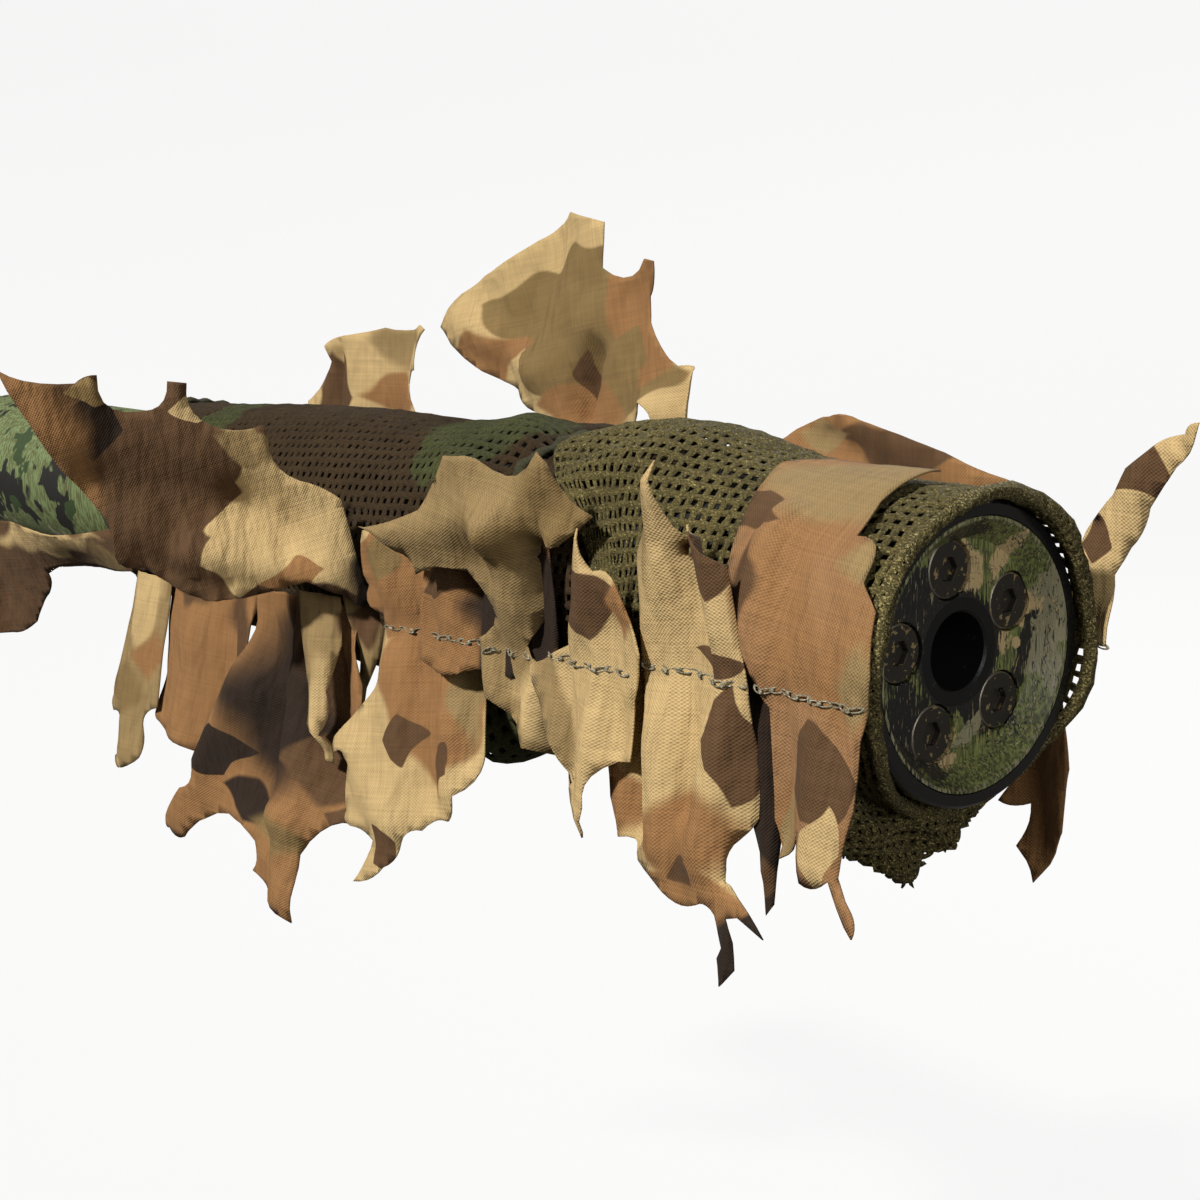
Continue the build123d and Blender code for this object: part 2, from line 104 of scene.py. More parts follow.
def add_camera():
    look = Vector((math.cos(CAMERA_YAW) * math.cos(CAMERA_PITCH),
                   math.sin(CAMERA_YAW) * math.cos(CAMERA_PITCH), math.sin(CAMERA_PITCH)))
    level = Vector((math.sin(CAMERA_YAW), -math.cos(CAMERA_YAW), 0))
    tilt = Matrix.Rotation(CAMERA_ROLL, 3, -look)
    right = tilt @ level
    up = tilt @ level.cross(look)
    turn = Matrix((right, up, -look)).transposed()
    data = bpy.data.cameras.new("camera")
    data.lens = LENS
    data.sensor_width = FILM_WIDE
    data.clip_start = 0.01
    camera = bpy.data.objects.new("camera", data)
    camera.matrix_world = Matrix.Translation(CAMERA_PLACE) @ turn.to_4x4()
    scene.collection.objects.link(camera)
    scene.camera = camera
    print("camera", tuple(round(x, 3) for x in camera.location), "lens", data.lens)


add_camera()

# %% [markdown]
# ## Finishes
#
# Every finish is a small network of nodes. Written out node by node such a network is long
# and hard to read, so one class wraps a socket and lets it stand in an ordinary sum: each
# operator adds one Math node. A second class holds the material and makes all other nodes.

# %% A socket that can stand in a sum
class Wire:
    def __init__(self, finish, socket):
        self.finish = finish
        self.socket = socket

    def __add__(self, other):
        return self.finish.maths("ADD", self, other)

    def __sub__(self, other):
        return self.finish.maths("SUBTRACT", self, other)

    def __rsub__(self, other):
        return self.finish.maths("SUBTRACT", other, self)

    def __mul__(self, other):
        return self.finish.maths("MULTIPLY", self, other)

    def __truediv__(self, other):
        return self.finish.maths("DIVIDE", self, other)

    def __pow__(self, other):
        return self.finish.maths("POWER", self, other)

    def __abs__(self):
        return self.finish.maths("ABSOLUTE", self)

    __radd__ = __add__
    __rmul__ = __mul__


# %% A material under construction
class Finish:
    """One material. Places are in millimetres, and constants go straight on the shader."""

    def __init__(self, name, **constants):
        self.material = bpy.data.materials.new(name)
        self.material.use_nodes = True
        self.tree = self.material.node_tree
        self.shader = self.tree.nodes["Principled BSDF"]
        for socket, value in constants.items():
            socket = socket.replace("_", " ").title().replace("Ior", "IOR")
            self.shader.inputs[socket].default_value = value

    def node(self, kind, settings, sockets, output=0):
        made = self.tree.nodes.new("ShaderNode" + kind)
        for name, value in settings.items():
            setattr(made, name, value)
        for name, value in sockets.items():
            if isinstance(value, Wire):
                self.tree.links.new(value.socket, made.inputs[name])
            else:
                made.inputs[name].default_value = value
        return Wire(self, made.outputs[output])

    def maths(self, operation, *values):
        return self.node("Math", {"operation": operation}, dict(enumerate(values)))

    def vectors(self, operation, sockets, output=0):
        return self.node("VectorMath", {"operation": operation}, sockets, output)

    def place(self):
        """Where the surface is on the object, in millimetres."""
        here = self.node("TexCoord", {}, {}, "Object")
        return self.vectors("SCALE", {0: here, "Scale": 1 / MM})

    def cut_place(self):
        """Where the surface is on the flat cloth, in millimetres from the leaf's seam."""
        here = self.node("UVMap", {"uv_map": CUT_MAP}, {})
        return self.vectors("SCALE", {0: here, "Scale": CUT_SCALE})

    def split(self, vector):
        made = self.tree.nodes.new("ShaderNodeSeparateXYZ")
        self.tree.links.new(vector.socket, made.inputs[0])
        return [Wire(self, made.outputs[axis]) for axis in range(3)]

    def stretch(self, vector, scale, turn=(0, 0, 0)):
        return self.node("Mapping", {}, {"Vector": vector, "Rotation": turn, "Scale": scale})

    def cloud(self, vector, size, detail=2.0, rough=0.5, output=0):
        """Noise from 0 to 1 whose blobs are about size millimetres across."""
        return self.node("TexNoise", {}, {"Vector": vector, "Scale": 1 / size, "Detail": detail,
                                          "Roughness": rough}, output)

    def wander(self, vector, size, amount, detail=2.0):
        """The same place, pushed about, so that what is drawn on it has uneven edges."""
        push = self.cloud(vector, size, detail, output="Color")
        push = self.vectors("SUBTRACT", {0: push, 1: (0.5, 0.5, 0.5)})
        push = self.vectors("SCALE", {0: push, "Scale": amount})
        return self.vectors("ADD", {0: vector, 1: push})

    def between(self, value, low, high):
        """0 below low, 1 above high, smooth in between. High may be the smaller."""
        return self.node("MapRange", {"interpolation_type": "SMOOTHSTEP"},
                         {"Value": value, "From Min": low, "From Max": high})

    def mix(self, share, below, above):
        return self.node("Mix", {"data_type": "RGBA"}, {0: share, 6: below, 7: above}, 2)

    def shade(self, share, colour):
        """The colour made darker or lighter by a number."""
        grey = self.node("CombineColor", {}, {0: share, 1: share, 2: share})
        return self.node("Mix", {"data_type": "RGBA", "blend_type": "MULTIPLY"},
                         {0: 1.0, 6: colour, 7: grey}, 2)

    def done(self, colour=None, roughness=None, height=None, depth=0.1):
        """Joins what varies to the shader. Depth is how deep the bump is, in millimetres."""
        varying = {"Base Color": colour, "Roughness": roughness}
        if height is not None:
            varying["Normal"] = self.node("Bump", {}, {"Strength": 1.0, "Distance": depth * MM,
                                                       "Height": height})
        for name, value in varying.items():
            if isinstance(value, Wire):
                self.tree.links.new(value.socket, self.shader.inputs[name])
            elif value is not None:
                self.shader.inputs[name].default_value = value
        return self.material


CUT_MAP = "cut"
CUT_SCALE = 100.0     # millimetres to one unit of the cloth's flat map


def ink(red, green, blue):
    return (red, green, blue, 1.0)


# %% [markdown]
# ### Printed cotton
#
# The leaves are cut from printed cotton. The print has a few inks, each laid down in
# patches. A patch starts as a lozenge and noise pushes its edge about, so no two look
# alike, and some are given a soft edge. The patches are placed leaf by leaf, because a
# print is what the eye follows from leaf to leaf. A few soft patches of the darkest ink
# are not print but painted shadow, where a leaf lies in shade. The weave is a grid of
# yarns about a third of a millimetre apart. It raises the cloth, and it is also painted
# into the colour, as painted shade in the gaps between yarns and painted highlight on the
# yarns, so it still shows where the light is flat. A broader, deeper bump crumples the cloth.

# %% Inks of the print
TAN = ink(0.44, 0.315, 0.145)
KHAKI = ink(0.245, 0.168, 0.072)
OLIVE = ink(0.185, 0.122, 0.046)
RUST = ink(0.245, 0.125, 0.047)
BROWN = ink(0.090, 0.047, 0.020)
# DARK is a print ink, and it is also laid as painted shadow in shaded gaps and under overhanging
# leaves, which is why it is near black.
DARK = ink(0.020, 0.011, 0.006)
YARN_PITCH = 0.31         # between one yarn of the weave and the next, in millimetres
PATCH_EDGE = 0.035        # softness of a patch's edge, as a share of its size
PATCH_BULGE = 1.15        # 1 gives a patch straight sides, and 2 makes it round


def patch(finish, x, y, spot):
    """How far out (x, y) is from a patch: 1 on its edge. Spot is (u, v, half width, half
    height, turn in degrees)."""
    u, v, wide, high, turn = spot
    c = math.cos(math.radians(turn))
    s = math.sin(math.radians(turn))
    along = abs((x - u) * c + (y - v) * s) / wide
    across = abs((y - v) * c - (x - u) * s) / high
    return along ** PATCH_BULGE + across ** PATCH_BULGE


def printed_cotton(name, ground, patches, grain=0.0, wash=None):
    """Cotton with patches: (ink, u, v, half width, half height, turn, softness)."""
    finish = Finish(name, roughness=0.82, sheen_weight=0.02, sheen_roughness=0.5,
                    specular_ior_level=0.25)
    cut = finish.cut_place()
    x, y, _ = finish.split(finish.wander(cut, 11.0, 9.0, 0.0))
    colour = ground
    if wash:
        cloudy = finish.between(finish.cloud(cut, 24.0, 1.0), 0.38, 0.62)
        colour = finish.mix(cloudy, ground, wash)
    for paint, u, v, wide, high, turn, soft in patches:
        distance = patch(finish, x, y, (u, v, wide, high, turn))
        inside = finish.between(distance, 1 + PATCH_EDGE + soft, 1 - PATCH_EDGE - soft)
        colour = finish.mix(inside, colour, paint)
    turned = finish.stretch(cut, (1, 1, 1), (0, 0, math.radians(grain)))
    weft, warp, _ = finish.split(turned)
    over = (finish.maths("SINE", weft * (math.pi / YARN_PITCH))
            * finish.maths("SINE", warp * (math.pi / YARN_PITCH)))
    slub = (finish.cloud(finish.stretch(turned, (0.06, 1.9, 1)), 1.0, 1.0)
            + finish.cloud(finish.stretch(turned, (1.9, 0.06, 1)), 1.0, 1.0))
    worn = finish.cloud(cut, 13.0, 3.0)
    # The weave term over is painted light: painted shade in the gaps between yarns and painted
    # highlight on their tops. Slub and worn vary the cloth's own tone.
    light = 0.46 + over * 0.19 + slub * 0.36 + worn * 0.36
    colour = finish.shade(light, colour)
    crumple = finish.cloud(finish.stretch(cut, (1, 0.4, 1)), 4.2, 2.0)
    return finish.done(colour, 0.74 + worn * 0.2, over * 0.4 + slub * 0.7 + crumple * 15.0, 0.13)


# %% [markdown]
# ### Knitted mesh
#
# The sleeves are knitted from a coarse, slightly shiny yarn. Their holes are real holes in
# the mesh made further down; the finish only has to make each strand look like twisted
# yarn: short diagonal ridges, pale glints on top as a painted highlight, and darker
# colour between them, where the twist sinks.

# %% Yarn of the mesh sleeves
YARN_DARK = ink(0.028, 0.023, 0.010)
YARN_OLIVE = ink(0.125, 0.102, 0.034)
# YARN_GLINT and the other glint inks are painted highlights, mixed into the colour where the twist
# rises.
YARN_GLINT = ink(0.46, 0.39, 0.17)
YARN_BROWN = ink(0.022, 0.013, 0.006)
YARN_UMBER = ink(0.046, 0.028, 0.011)
YARN_GREEN = ink(0.058, 0.068, 0.022)


def knit_yarn(name, dark, middle, glint, green_spots=(), fuzz=1.4, glints=0.62):
    """Twisted yarn. Green spots are printed over it: (x, y, z, radius)."""
    finish = Finish(name, roughness=0.7, sheen_weight=0.02, sheen_roughness=0.45,
                    specular_ior_level=0.15)
    here = finish.place()
    print_place = finish.wander(here, 14.0, 16.0)
    for *centre, radius in green_spots:
        gone = finish.vectors("DISTANCE", {0: print_place, 1: tuple(centre)}, "Value")
        inside = finish.between(gone, radius * 1.06, radius * 0.94)
        dark = finish.mix(inside, dark, YARN_DARK)
        middle = finish.mix(inside, middle, YARN_GREEN)
    twist = finish.cloud(finish.stretch(here, (1.5, 3.6, 3.6), (0.5, 0.7, 0.6)), 1.0, 3.0, 0.65)
    fluff = finish.cloud(here, 0.42, 3.0, 0.7)
    tone = finish.cloud(here, 9.0, 2.0)
    strand = finish.between(twist * 0.62 + fluff * 0.38, 0.36, 0.60)
    colour = finish.mix(strand, dark, middle)
    # Glints: a painted highlight on the tops of the twist.
    shine = finish.between(twist * 0.55 + fluff * 0.45, glints - 0.06, glints + 0.05)
    colour = finish.mix(shine, colour, glint)
    colour = finish.shade(0.62 + tone * 0.76, colour)
    return finish.done(colour, 0.58 + fluff * 0.36, twist * 0.75 + fluff * 0.45, 0.34 * fuzz)


front_yarn = knit_yarn("olive_knit", YARN_DARK, YARN_OLIVE, YARN_GLINT)
rear_yarn = knit_yarn(
    "brown_knit", YARN_BROWN, YARN_UMBER, ink(0.15, 0.11, 0.05),
    [(-192, -24, 10, 11), (-228, -8, 24, 9), (-118, -6, 26, 19), (-100, -26, -22, 26),
     (-160, 22, 14, 16), (-208, 8, -26, 18), (-90, 24, -12, 17)], glints=0.66)
fuzzy_yarn = knit_yarn("fuzzy_knit", YARN_DARK, YARN_OLIVE, YARN_GLINT, fuzz=1.9, glints=0.58)
elastic_band = knit_yarn("elastic_band", YARN_DARK, ink(0.05, 0.052, 0.028),
                         ink(0.16, 0.16, 0.1), glints=0.68)
seam_thread = knit_yarn("seam_thread", ink(0.12, 0.105, 0.068), ink(0.30, 0.272, 0.185),
                        ink(0.56, 0.53, 0.42), glints=0.58)
print("knit finishes ready")

# %% [markdown]
# ### Paint, black metal and rubber
#
# The end plate is brushed with green, tan and black paint, dabbed on and then scratched
# by use. The tail is a greyer green with dark blots and a few pale ones. The tube, ring and
# bush are black, and what sets them apart is gloss: the ring is polished by handling, the
# tube is satin and the bush matt. The screws are blackened steel, worn pale on their
# bevelled edges.

# %% Painted end plate and tail
PAINT_BLACK = ink(0.012, 0.012, 0.011)
PAINT_GREEN = ink(0.23, 0.265, 0.075)
PAINT_MOSS = ink(0.085, 0.095, 0.035)
PAINT_TAN = ink(0.56, 0.42, 0.21)
PAINT_STONE = ink(0.30, 0.28, 0.17)
PAINT_SAGE = ink(0.15, 0.20, 0.085)


def strokes(finish, here, turn, size, long=7.0):
    """Long thin noise, as a stiff brush leaves it, turned about the tube's axis."""
    lain = finish.stretch(here, (1 / size, 1 / size, 1 / (size * long)), (turn, 0, 0))
    return finish.cloud(lain, 1.0, 2.5, 0.6)


def painted_plate():
    finish = Finish("painted_plate", roughness=0.42, coat_weight=0.22, coat_roughness=0.25)
    here = finish.place()
    loose = finish.wander(here, 3.4, 5.5)
    fine = finish.wander(here, 1.2, 1.6)
    _, y, z = finish.split(loose)
    _, fine_y, fine_z = finish.split(fine)
    radius = (fine_y * fine_y + fine_z * fine_z) ** 0.5
    brush = strokes(finish, here, 0.5, 0.55)
    colour = finish.mix(finish.between(brush, 0.4, 0.62), PAINT_MOSS, PAINT_GREEN)
    dabs = [(PAINT_BLACK, -9, 9, 9, 8, 40), (PAINT_STONE, 19, 3, 4, 12, 0),
            (PAINT_TAN, 2, 13, 3.6, 6.5, 10), (PAINT_BLACK, -1, 20, 7, 2.2, 0),
            (PAINT_TAN, 10, 15, 2, 5, -15), (PAINT_TAN, 15, 5, 4.4, 3, 20),
            (PAINT_TAN, 9.5, 2, 3.2, 5, 0), (PAINT_BLACK, 16, -2, 2.6, 8, -12),
            (PAINT_BLACK, 6, -10, 9, 5, -25), (PAINT_BLACK, -13, -10, 8, 8, 0),
            (PAINT_TAN, -3, -15, 3.4, 3.4, 20), (PAINT_BLACK, -7, -18, 5, 2, -15),
            (PAINT_TAN, -18, 2, 2.2, 5, 0), (PAINT_STONE, 3, -13.5, 4, 2, 30)]
    for paint, at_y, at_z, wide, high, turn in dabs:
        edge = patch(finish, y, z, (at_y, at_z, wide, high, turn)) + brush * 0.9
        colour = finish.mix(finish.between(edge, 1.5, 1.4), colour, paint)
    rounds = finish.node("CombineXYZ", {}, {0: finish.maths("ARCTAN2", fine_z, fine_y) * 2.4,
                                            1: radius * 2.1})
    swept = finish.cloud(rounds, 1.0, 3.0, 0.65)
    for low, paint in [(0.60, PAINT_BLACK), (0.66, PAINT_TAN)]:
        colour = finish.mix(finish.between(swept, low, low + 0.03), colour, paint)
    for turn, low, paint in [(0.35, 0.62, PAINT_BLACK), (-0.5, 0.64, PAINT_TAN),
                             (1.1, 0.65, PAINT_BLACK), (0.1, 0.64, PAINT_STONE)]:
        scratch = finish.between(strokes(finish, here, turn, 0.34, 12), low, low + 0.025)
        colour = finish.mix(scratch, colour, paint)
    left = finish.between(fine_y + fine_z * 0.3, -4, -12)
    scraped = finish.between(strokes(finish, here, -0.2, 0.5, 8), 0.50, 0.53) * left
    colour = finish.mix(scraped, colour, PAINT_BLACK)
    for at_y, at_z in [(14.2, -0.5), (-16, -15)]:
        dot = finish.vectors("DISTANCE", {0: fine, 1: (0, at_y, at_z)}, "Value")
        colour = finish.mix(finish.between(dot, 1.3, 1.0), colour, PAINT_TAN)
    pale_rim = finish.between(radius, 21.6, 21.9) * finish.between(brush, 0.5, 0.56)
    colour = finish.mix(pale_rim, colour, PAINT_STONE)
    bare = finish.between(radius + brush * 4.4, 12.4, 12.0)
    colour = finish.mix(bare, colour, PAINT_BLACK)
    return finish.done(colour, 0.26 + brush * 0.38, brush + swept * 0.6, 0.22)


def painted_tail():
    finish = Finish("painted_tail", roughness=0.5)
    here = finish.place()
    blobs = finish.cloud(finish.wander(here, 6.0, 7.0), 15.0, 2.0, 0.6)
    patches = finish.cloud(finish.wander(here, 5.0, 6.0), 11.0, 1.5)
    brush = strokes(finish, here, 0.9, 0.8)
    colour = finish.mix(finish.between(brush, 0.4, 0.6), PAINT_MOSS, PAINT_SAGE)
    colour = finish.mix(finish.between(blobs, 0.56, 0.59), colour, PAINT_BLACK)
    colour = finish.mix(finish.between(patches, 0.64, 0.67), colour, PAINT_STONE)
    colour = finish.mix(finish.between(patches, 0.37, 0.36), colour, ink(0.030, 0.052, 0.018))
    return finish.done(colour, 0.34 + brush * 0.36, brush, 0.15)


# %% Black parts, alloy, brass, foam and rubber
def plain_part(name, colour, worn, roughness, metallic=0.0, grain=0.5, depth=0.04, **constants):
    """One colour with a slow drift in tone, fine grain and a little wear."""
    finish = Finish(name, metallic=metallic, **constants)
    here = finish.place()
    fine = finish.cloud(here, grain, 3.0, 0.6)
    drift = finish.cloud(here, 14.0, 2.0)
    rubbed = finish.between(finish.cloud(here, 2.6, 4.0, 0.7), 0.60, 0.72)
    tone = finish.mix(rubbed * 0.6, colour, worn)
    return finish.done(finish.shade(0.8 + drift * 0.4, tone), roughness - 0.06 + fine * 0.12,
                       fine, depth)


def blackened_screws():
    """Dark screw heads: pale on the rim of the bevel, with paint specks in the sockets."""
    finish = Finish("blackened_screws", metallic=0.75)
    here = finish.place()
    x, _, _ = finish.split(here)
    fine = finish.cloud(here, 0.5, 3.0, 0.65)
    head_x = reach("cap_screws")[1].x
    rim = finish.between(x, head_x - 0.42, head_x - 0.12) * finish.between(x, head_x, head_x - 0.08)
    rubbed = finish.between(rim * 0.5 + fine * 0.8, 0.50, 0.74)
    colour = finish.mix(rubbed, ink(0.075, 0.068, 0.058), ink(0.34, 0.30, 0.24))
    speck = finish.between(finish.cloud(here, 1.6, 3.0, 0.7), 0.60, 0.64)
    colour = finish.mix(speck, colour, PAINT_TAN)
    return finish.done(colour, 0.34 + fine * 0.22, fine, 0.05)


BLACK = ink(0.014, 0.014, 0.015)
hard_finishes = {
    "end_plate": painted_plate(),
    "tail_tube": painted_tail(),
    "cap_screws": blackened_screws(),
    "body_tube": plain_part("tube_black", BLACK, ink(0.05, 0.05, 0.05), 0.5),
    "front_ring": plain_part("ring_black", ink(0.008, 0.008, 0.009), ink(0.03, 0.03, 0.03), 0.24,
                             depth=0.012, coat_weight=0.5, coat_roughness=0.12),
    "centre_bush": plain_part("bush_black", BLACK, ink(0.07, 0.07, 0.075), 0.38, 0.3),
    "rear_cap": plain_part("cap_black", BLACK, ink(0.06, 0.058, 0.055), 0.62, grain=0.9, depth=0.1),
    "anchor_disc": plain_part("anchor_alloy", ink(0.45, 0.46, 0.47), ink(0.6, 0.6, 0.6), 0.4, 0.9),
    "screw_inserts": plain_part("insert_brass", ink(0.55, 0.39, 0.13), ink(0.7, 0.55, 0.25),
                                0.35, 1.0),
    "foam_core": plain_part("float_foam", ink(0.66, 0.64, 0.58), ink(0.5, 0.48, 0.42), 0.9,
                            grain=1.6, depth=0.5),
    "plate_gasket": plain_part("seal_rubber", ink(0.02, 0.02, 0.02), ink(0.05, 0.05, 0.05), 0.7),
}
for node, like in [("tail_reducer", "tail_tube"), ("tail_foam", "foam_core"),
                   ("rear_seal", "plate_gasket"), ("socket_end", "centre_bush")]:
    hard_finishes[node] = hard_finishes[like]
for node, material in hard_finishes.items():
    for place in nodes[node].material_slots:
        place.material = material
print("hard parts finished:", len(hard_finishes))

# %% [markdown]
# ## From a bmesh to a piece of the cover
#
# Each soft piece is worked in a bmesh and then handed over once: it becomes an object, takes
# its finish, rides on the cover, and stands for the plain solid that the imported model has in
# its place.

# %% Hand over a finished bmesh
def cover_piece(name, bm, material, stands_for=()):
    mesh = bpy.data.meshes.new(name)
    bm.to_mesh(mesh)
    bm.free()
    mesh.materials.append(material)
    for face in mesh.polygons:
        face.use_smooth = True
    piece = bpy.data.objects.new(name, mesh)
    scene.collection.objects.link(piece)
    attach(piece, "cover")
    if stands_for:
        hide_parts(*stands_for)
    return piece


def thicken(piece, thick, offset=0.0):
    wall = piece.modifiers.new("thickness", "SOLIDIFY")
    wall.thickness = thick * MM
    wall.offset = offset
    wall.use_even_offset = False


# %% [markdown]
# ## Mesh sleeves
#
# A knitted net is a grid with a hole in each square. It is made flat: a grid, an inset of
# every square that also sinks a little, so each strand has a ridge, and then the middles are
# deleted. Only then is it wrapped round the tube, by a function that says how far out the
# cloth stands at each place. Doing it in that order keeps the holes square and even, while
# the wrapping adds the sags, the gathers at the elastic and the uneven front edge.

# %% A flat net, then wrapped
STRAND_SHARE = 0.275      # of one square, on each side of a hole
STRAND_SINK = 0.42        # from the ridge of a strand down to the hole's edge
STRAND_THICK = 0.5
REAR_STRAND = 0.29
HEM_STRAND = 0.4
FLAP_STRAND = 0.33


def flat_net(rows, columns, long, wide, strand=STRAND_SHARE):
    """Net with its holes, from (0, 0) to (long, wide), ridges up."""
    bm = bmesh.new()
    bmesh.ops.create_grid(bm, x_segments=rows, y_segments=columns, size=0.5)
    bmesh.ops.translate(bm, vec=(0.5, 0.5, 0), verts=bm.verts)
    bmesh.ops.scale(bm, vec=(long, wide, 1), verts=bm.verts)
    squares = bm.faces[:]
    bmesh.ops.inset_individual(bm, faces=squares, thickness=long / rows * strand,
                               depth=-STRAND_SINK, use_even_offset=True)
    bmesh.ops.delete(bm, geom=squares, context="FACES")
    return bm


def wrap(bm, place):
    """Moves each point from the flat (x, along the girth, height) to its place in metres."""
    for vert in bm.verts:
        vert.co = place(*vert.co) * MM
    bmesh.ops.remove_doubles(bm, verts=bm.verts, dist=0.02 * MM)


def around(x, turn, out):
    """Point at this distance from the axis. Turn 0 is the near side and a quarter is the top."""
    return Vector((x, -out * math.cos(turn), out * math.sin(turn)))


def bump_at(x, middle, width):
    return math.exp(-((x - middle) / width) ** 2)


def turned_from(turn, middle):
    """Angle from middle to turn, between minus half a turn and half a turn."""
    return (turn - middle + math.pi) % (2 * math.pi) - math.pi


def beside(turn):
    """1 on the near side, where the leaves press the mesh flat, and 0 elsewhere."""
    return math.exp(-(turned_from(turn, math.radians(-12)) / 0.85) ** 4)


noise.seed_set(7)         # unseeded, noise_vector would differ from run to run


def uneven(point, size, amount):
    """Slow push of a point, the same in each run."""
    return noise.noise_vector(point / size) * amount


# %% Rear sleeve
REAR_GIRTH = 2 * math.pi * 28.0
rear_line = [(REAR_EDGE, 26.2), (-246, 26.8), (-215, 28.0), (-170, 28.8), (-138, 28.8),
             (-124, 30.3), (-112, 32.0), (-101, 31.0), (-94, 27.6), (OVERLAP_FRONT, 27.0)]


def read_line(line, x):
    """Straight reading between the (x, value) corners of a line."""
    for (x0, y0), (x1, y1) in zip(line, line[1:]):
        if x <= x1:
            return y0 + (y1 - y0) * max(0.0, (x - x0) / (x1 - x0))
    return line[-1][1]


def rear_out(x, turn):
    """How far the rear sleeve stands out: smooth at the back, gathered near the front."""
    gather = bump_at(x, -104, 15)
    out = read_line(rear_line, x) + 0.9 * gather * math.sin(9 * turn + x * 0.16)
    out -= 3.4 * bump_at(x, -112, 15) * beside(turn)
    low = turned_from(turn, math.radians(-60))
    out += 11.5 * bump_at(x, -101, 14) * math.exp(-(low / 0.40) ** 2)
    return out + 0.5 * math.sin(2 * turn + x * 0.045)


def rear_place(u, s, height):
    x = REAR_EDGE + u
    turn = s / REAR_GIRTH * 2 * math.pi - math.pi + u * 0.0022
    point = around(x, turn, rear_out(x, turn) + height)
    return point + uneven(point, 3.1, 0.36)


rear_net = flat_net(77, 68, OVERLAP_FRONT - REAR_EDGE, REAR_GIRTH, REAR_STRAND)
wrap(rear_net, rear_place)
rear_sleeve = cover_piece("rear_mesh_sleeve", rear_net, rear_yarn, ["rear_sleeve"])
thicken(rear_sleeve, STRAND_THICK, -1)
print("rear sleeve squares:", len(rear_sleeve.data.polygons) // 4)


def bunch_place(u, s, height):
    """The slack mesh under the seam, folded double inside its own bulge."""
    x = -122 + u
    turn = math.radians(-98) + s / 26
    return around(x, turn, rear_out(x, turn) - 2.6 + height + 0.8 * math.sin(u * 0.5 + s * 0.3))


bunch_net = flat_net(17, 16, 42, 40, 0.3)
wrap(bunch_net, bunch_place)
bunched_mesh = cover_piece("bunched_mesh", bunch_net, rear_yarn)
thicken(bunched_mesh, STRAND_THICK, -1)

# %% Front sleeve
FRONT_GIRTH = 2 * math.pi * 28.6
FRONT_PITCH = 2.5         # from hole to hole
front_long = FRONT_EDGE - 0.5 - OVERLAP_BACK - 2
front_line = [(OVERLAP_BACK, 29.5), (-88, 30.4), (-80, 31.6), (-70, 32.3), (-58, 32.2),
              (-49, 30.8), (-34, 28.6), (-17, 27.3), (FRONT_EDGE + 2, 27.0)]
NEAR_OUT = 27.2           # on the near side, where the leaves press the mesh flat


def front_out(x, turn):
    gather = bump_at(x, -76, 16)
    out = NEAR_OUT + (read_line(front_line, x) - NEAR_OUT) * (1 - beside(turn))
    out += 1.1 * gather * math.sin(7 * turn - x * 0.2) * (1 - beside(turn))
    out += 1.4 * bump_at(x, -60, 12) * math.exp(-(turned_from(turn, math.radians(75)) / 0.5) ** 2)
    return out + 0.35 * math.sin(3 * turn + x * 0.07)


SLIPPED_BACK = 6.5


def slipped(turn):
    """How far the front edge has slipped back: it hangs loose under the plate."""
    return SLIPPED_BACK * math.exp(-(turned_from(turn, math.radians(-88)) / 0.95) ** 4)


def front_place(u, s, height):
    turn = s / FRONT_GIRTH * 2 * math.pi - math.pi + u * 0.0036
    near = math.exp(-(turned_from(turn, math.radians(-5)) / 0.95) ** 4)
    back = 29 * near * max(0.0, 1 - u / 44) ** 1.3
    x = OVERLAP_BACK + 2 + u + back + 1.6 * math.sin(turn * 2 + 0.6) * (1 - u / front_long)
    x -= slipped(turn) * u / front_long
    point = around(x, turn, front_out(x, turn) + height)
    return point + uneven(point, 2.0, 0.5)


front_net = flat_net(round(front_long / FRONT_PITCH), 70, front_long, FRONT_GIRTH)
wrap(front_net, front_place)
front_sleeve = cover_piece("front_mesh_sleeve", front_net, front_yarn,
                           ["front_sleeve"])
thicken(front_sleeve, STRAND_THICK, -1)
print("front sleeve squares:", len(front_sleeve.data.polygons) // 4)

# %% [markdown]
# ### Rolled hem and elastics
#
# The front edge of the mesh is rolled on itself and stitched down, which makes a soft ring
# of doubled net round the end of the tube. It is the same flat net, wrapped a second way:
# round a thin ring. The two elastics are narrow bands pulled in over the mesh; a small
# profile is spun round the axis and then puckered.

# %% Hem round the front
HEM_OUT = 1.35            # from the tube to the middle of the roll
HEM_THIN = 1.15           # radius of the roll
HEM_WIDE = 8.4            # of the net, before it is rolled
HEM_THICK = 0.45


def hem_place(u, s, height):
    turn = s / FRONT_GIRTH * 2 * math.pi
    roll = u / HEM_WIDE * 2 * math.pi + 0.7 * math.sin(turn * 5)
    thin = HEM_THIN + 0.25 * math.sin(turn * 3 + 1) + height * 0.7
    out = TUBE_R + HEM_OUT + 0.3 * math.sin(turn * 4 + 0.5)
    x = FRONT_EDGE - 0.4 - slipped(turn) + 0.5 * math.sin(turn * 6)
    point = around(x + thin * math.cos(roll), turn, out + thin * math.sin(roll))
    return point + uneven(point, 2.2, 0.42)


hem_net = flat_net(4, 84, HEM_WIDE, FRONT_GIRTH, HEM_STRAND)
wrap(hem_net, hem_place)
front_hem = cover_piece("rolled_front_hem", hem_net, fuzzy_yarn, ["front_hem"])
thicken(front_hem, HEM_THICK, -1)
print("hem squares:", len(front_hem.data.polygons) // 4)

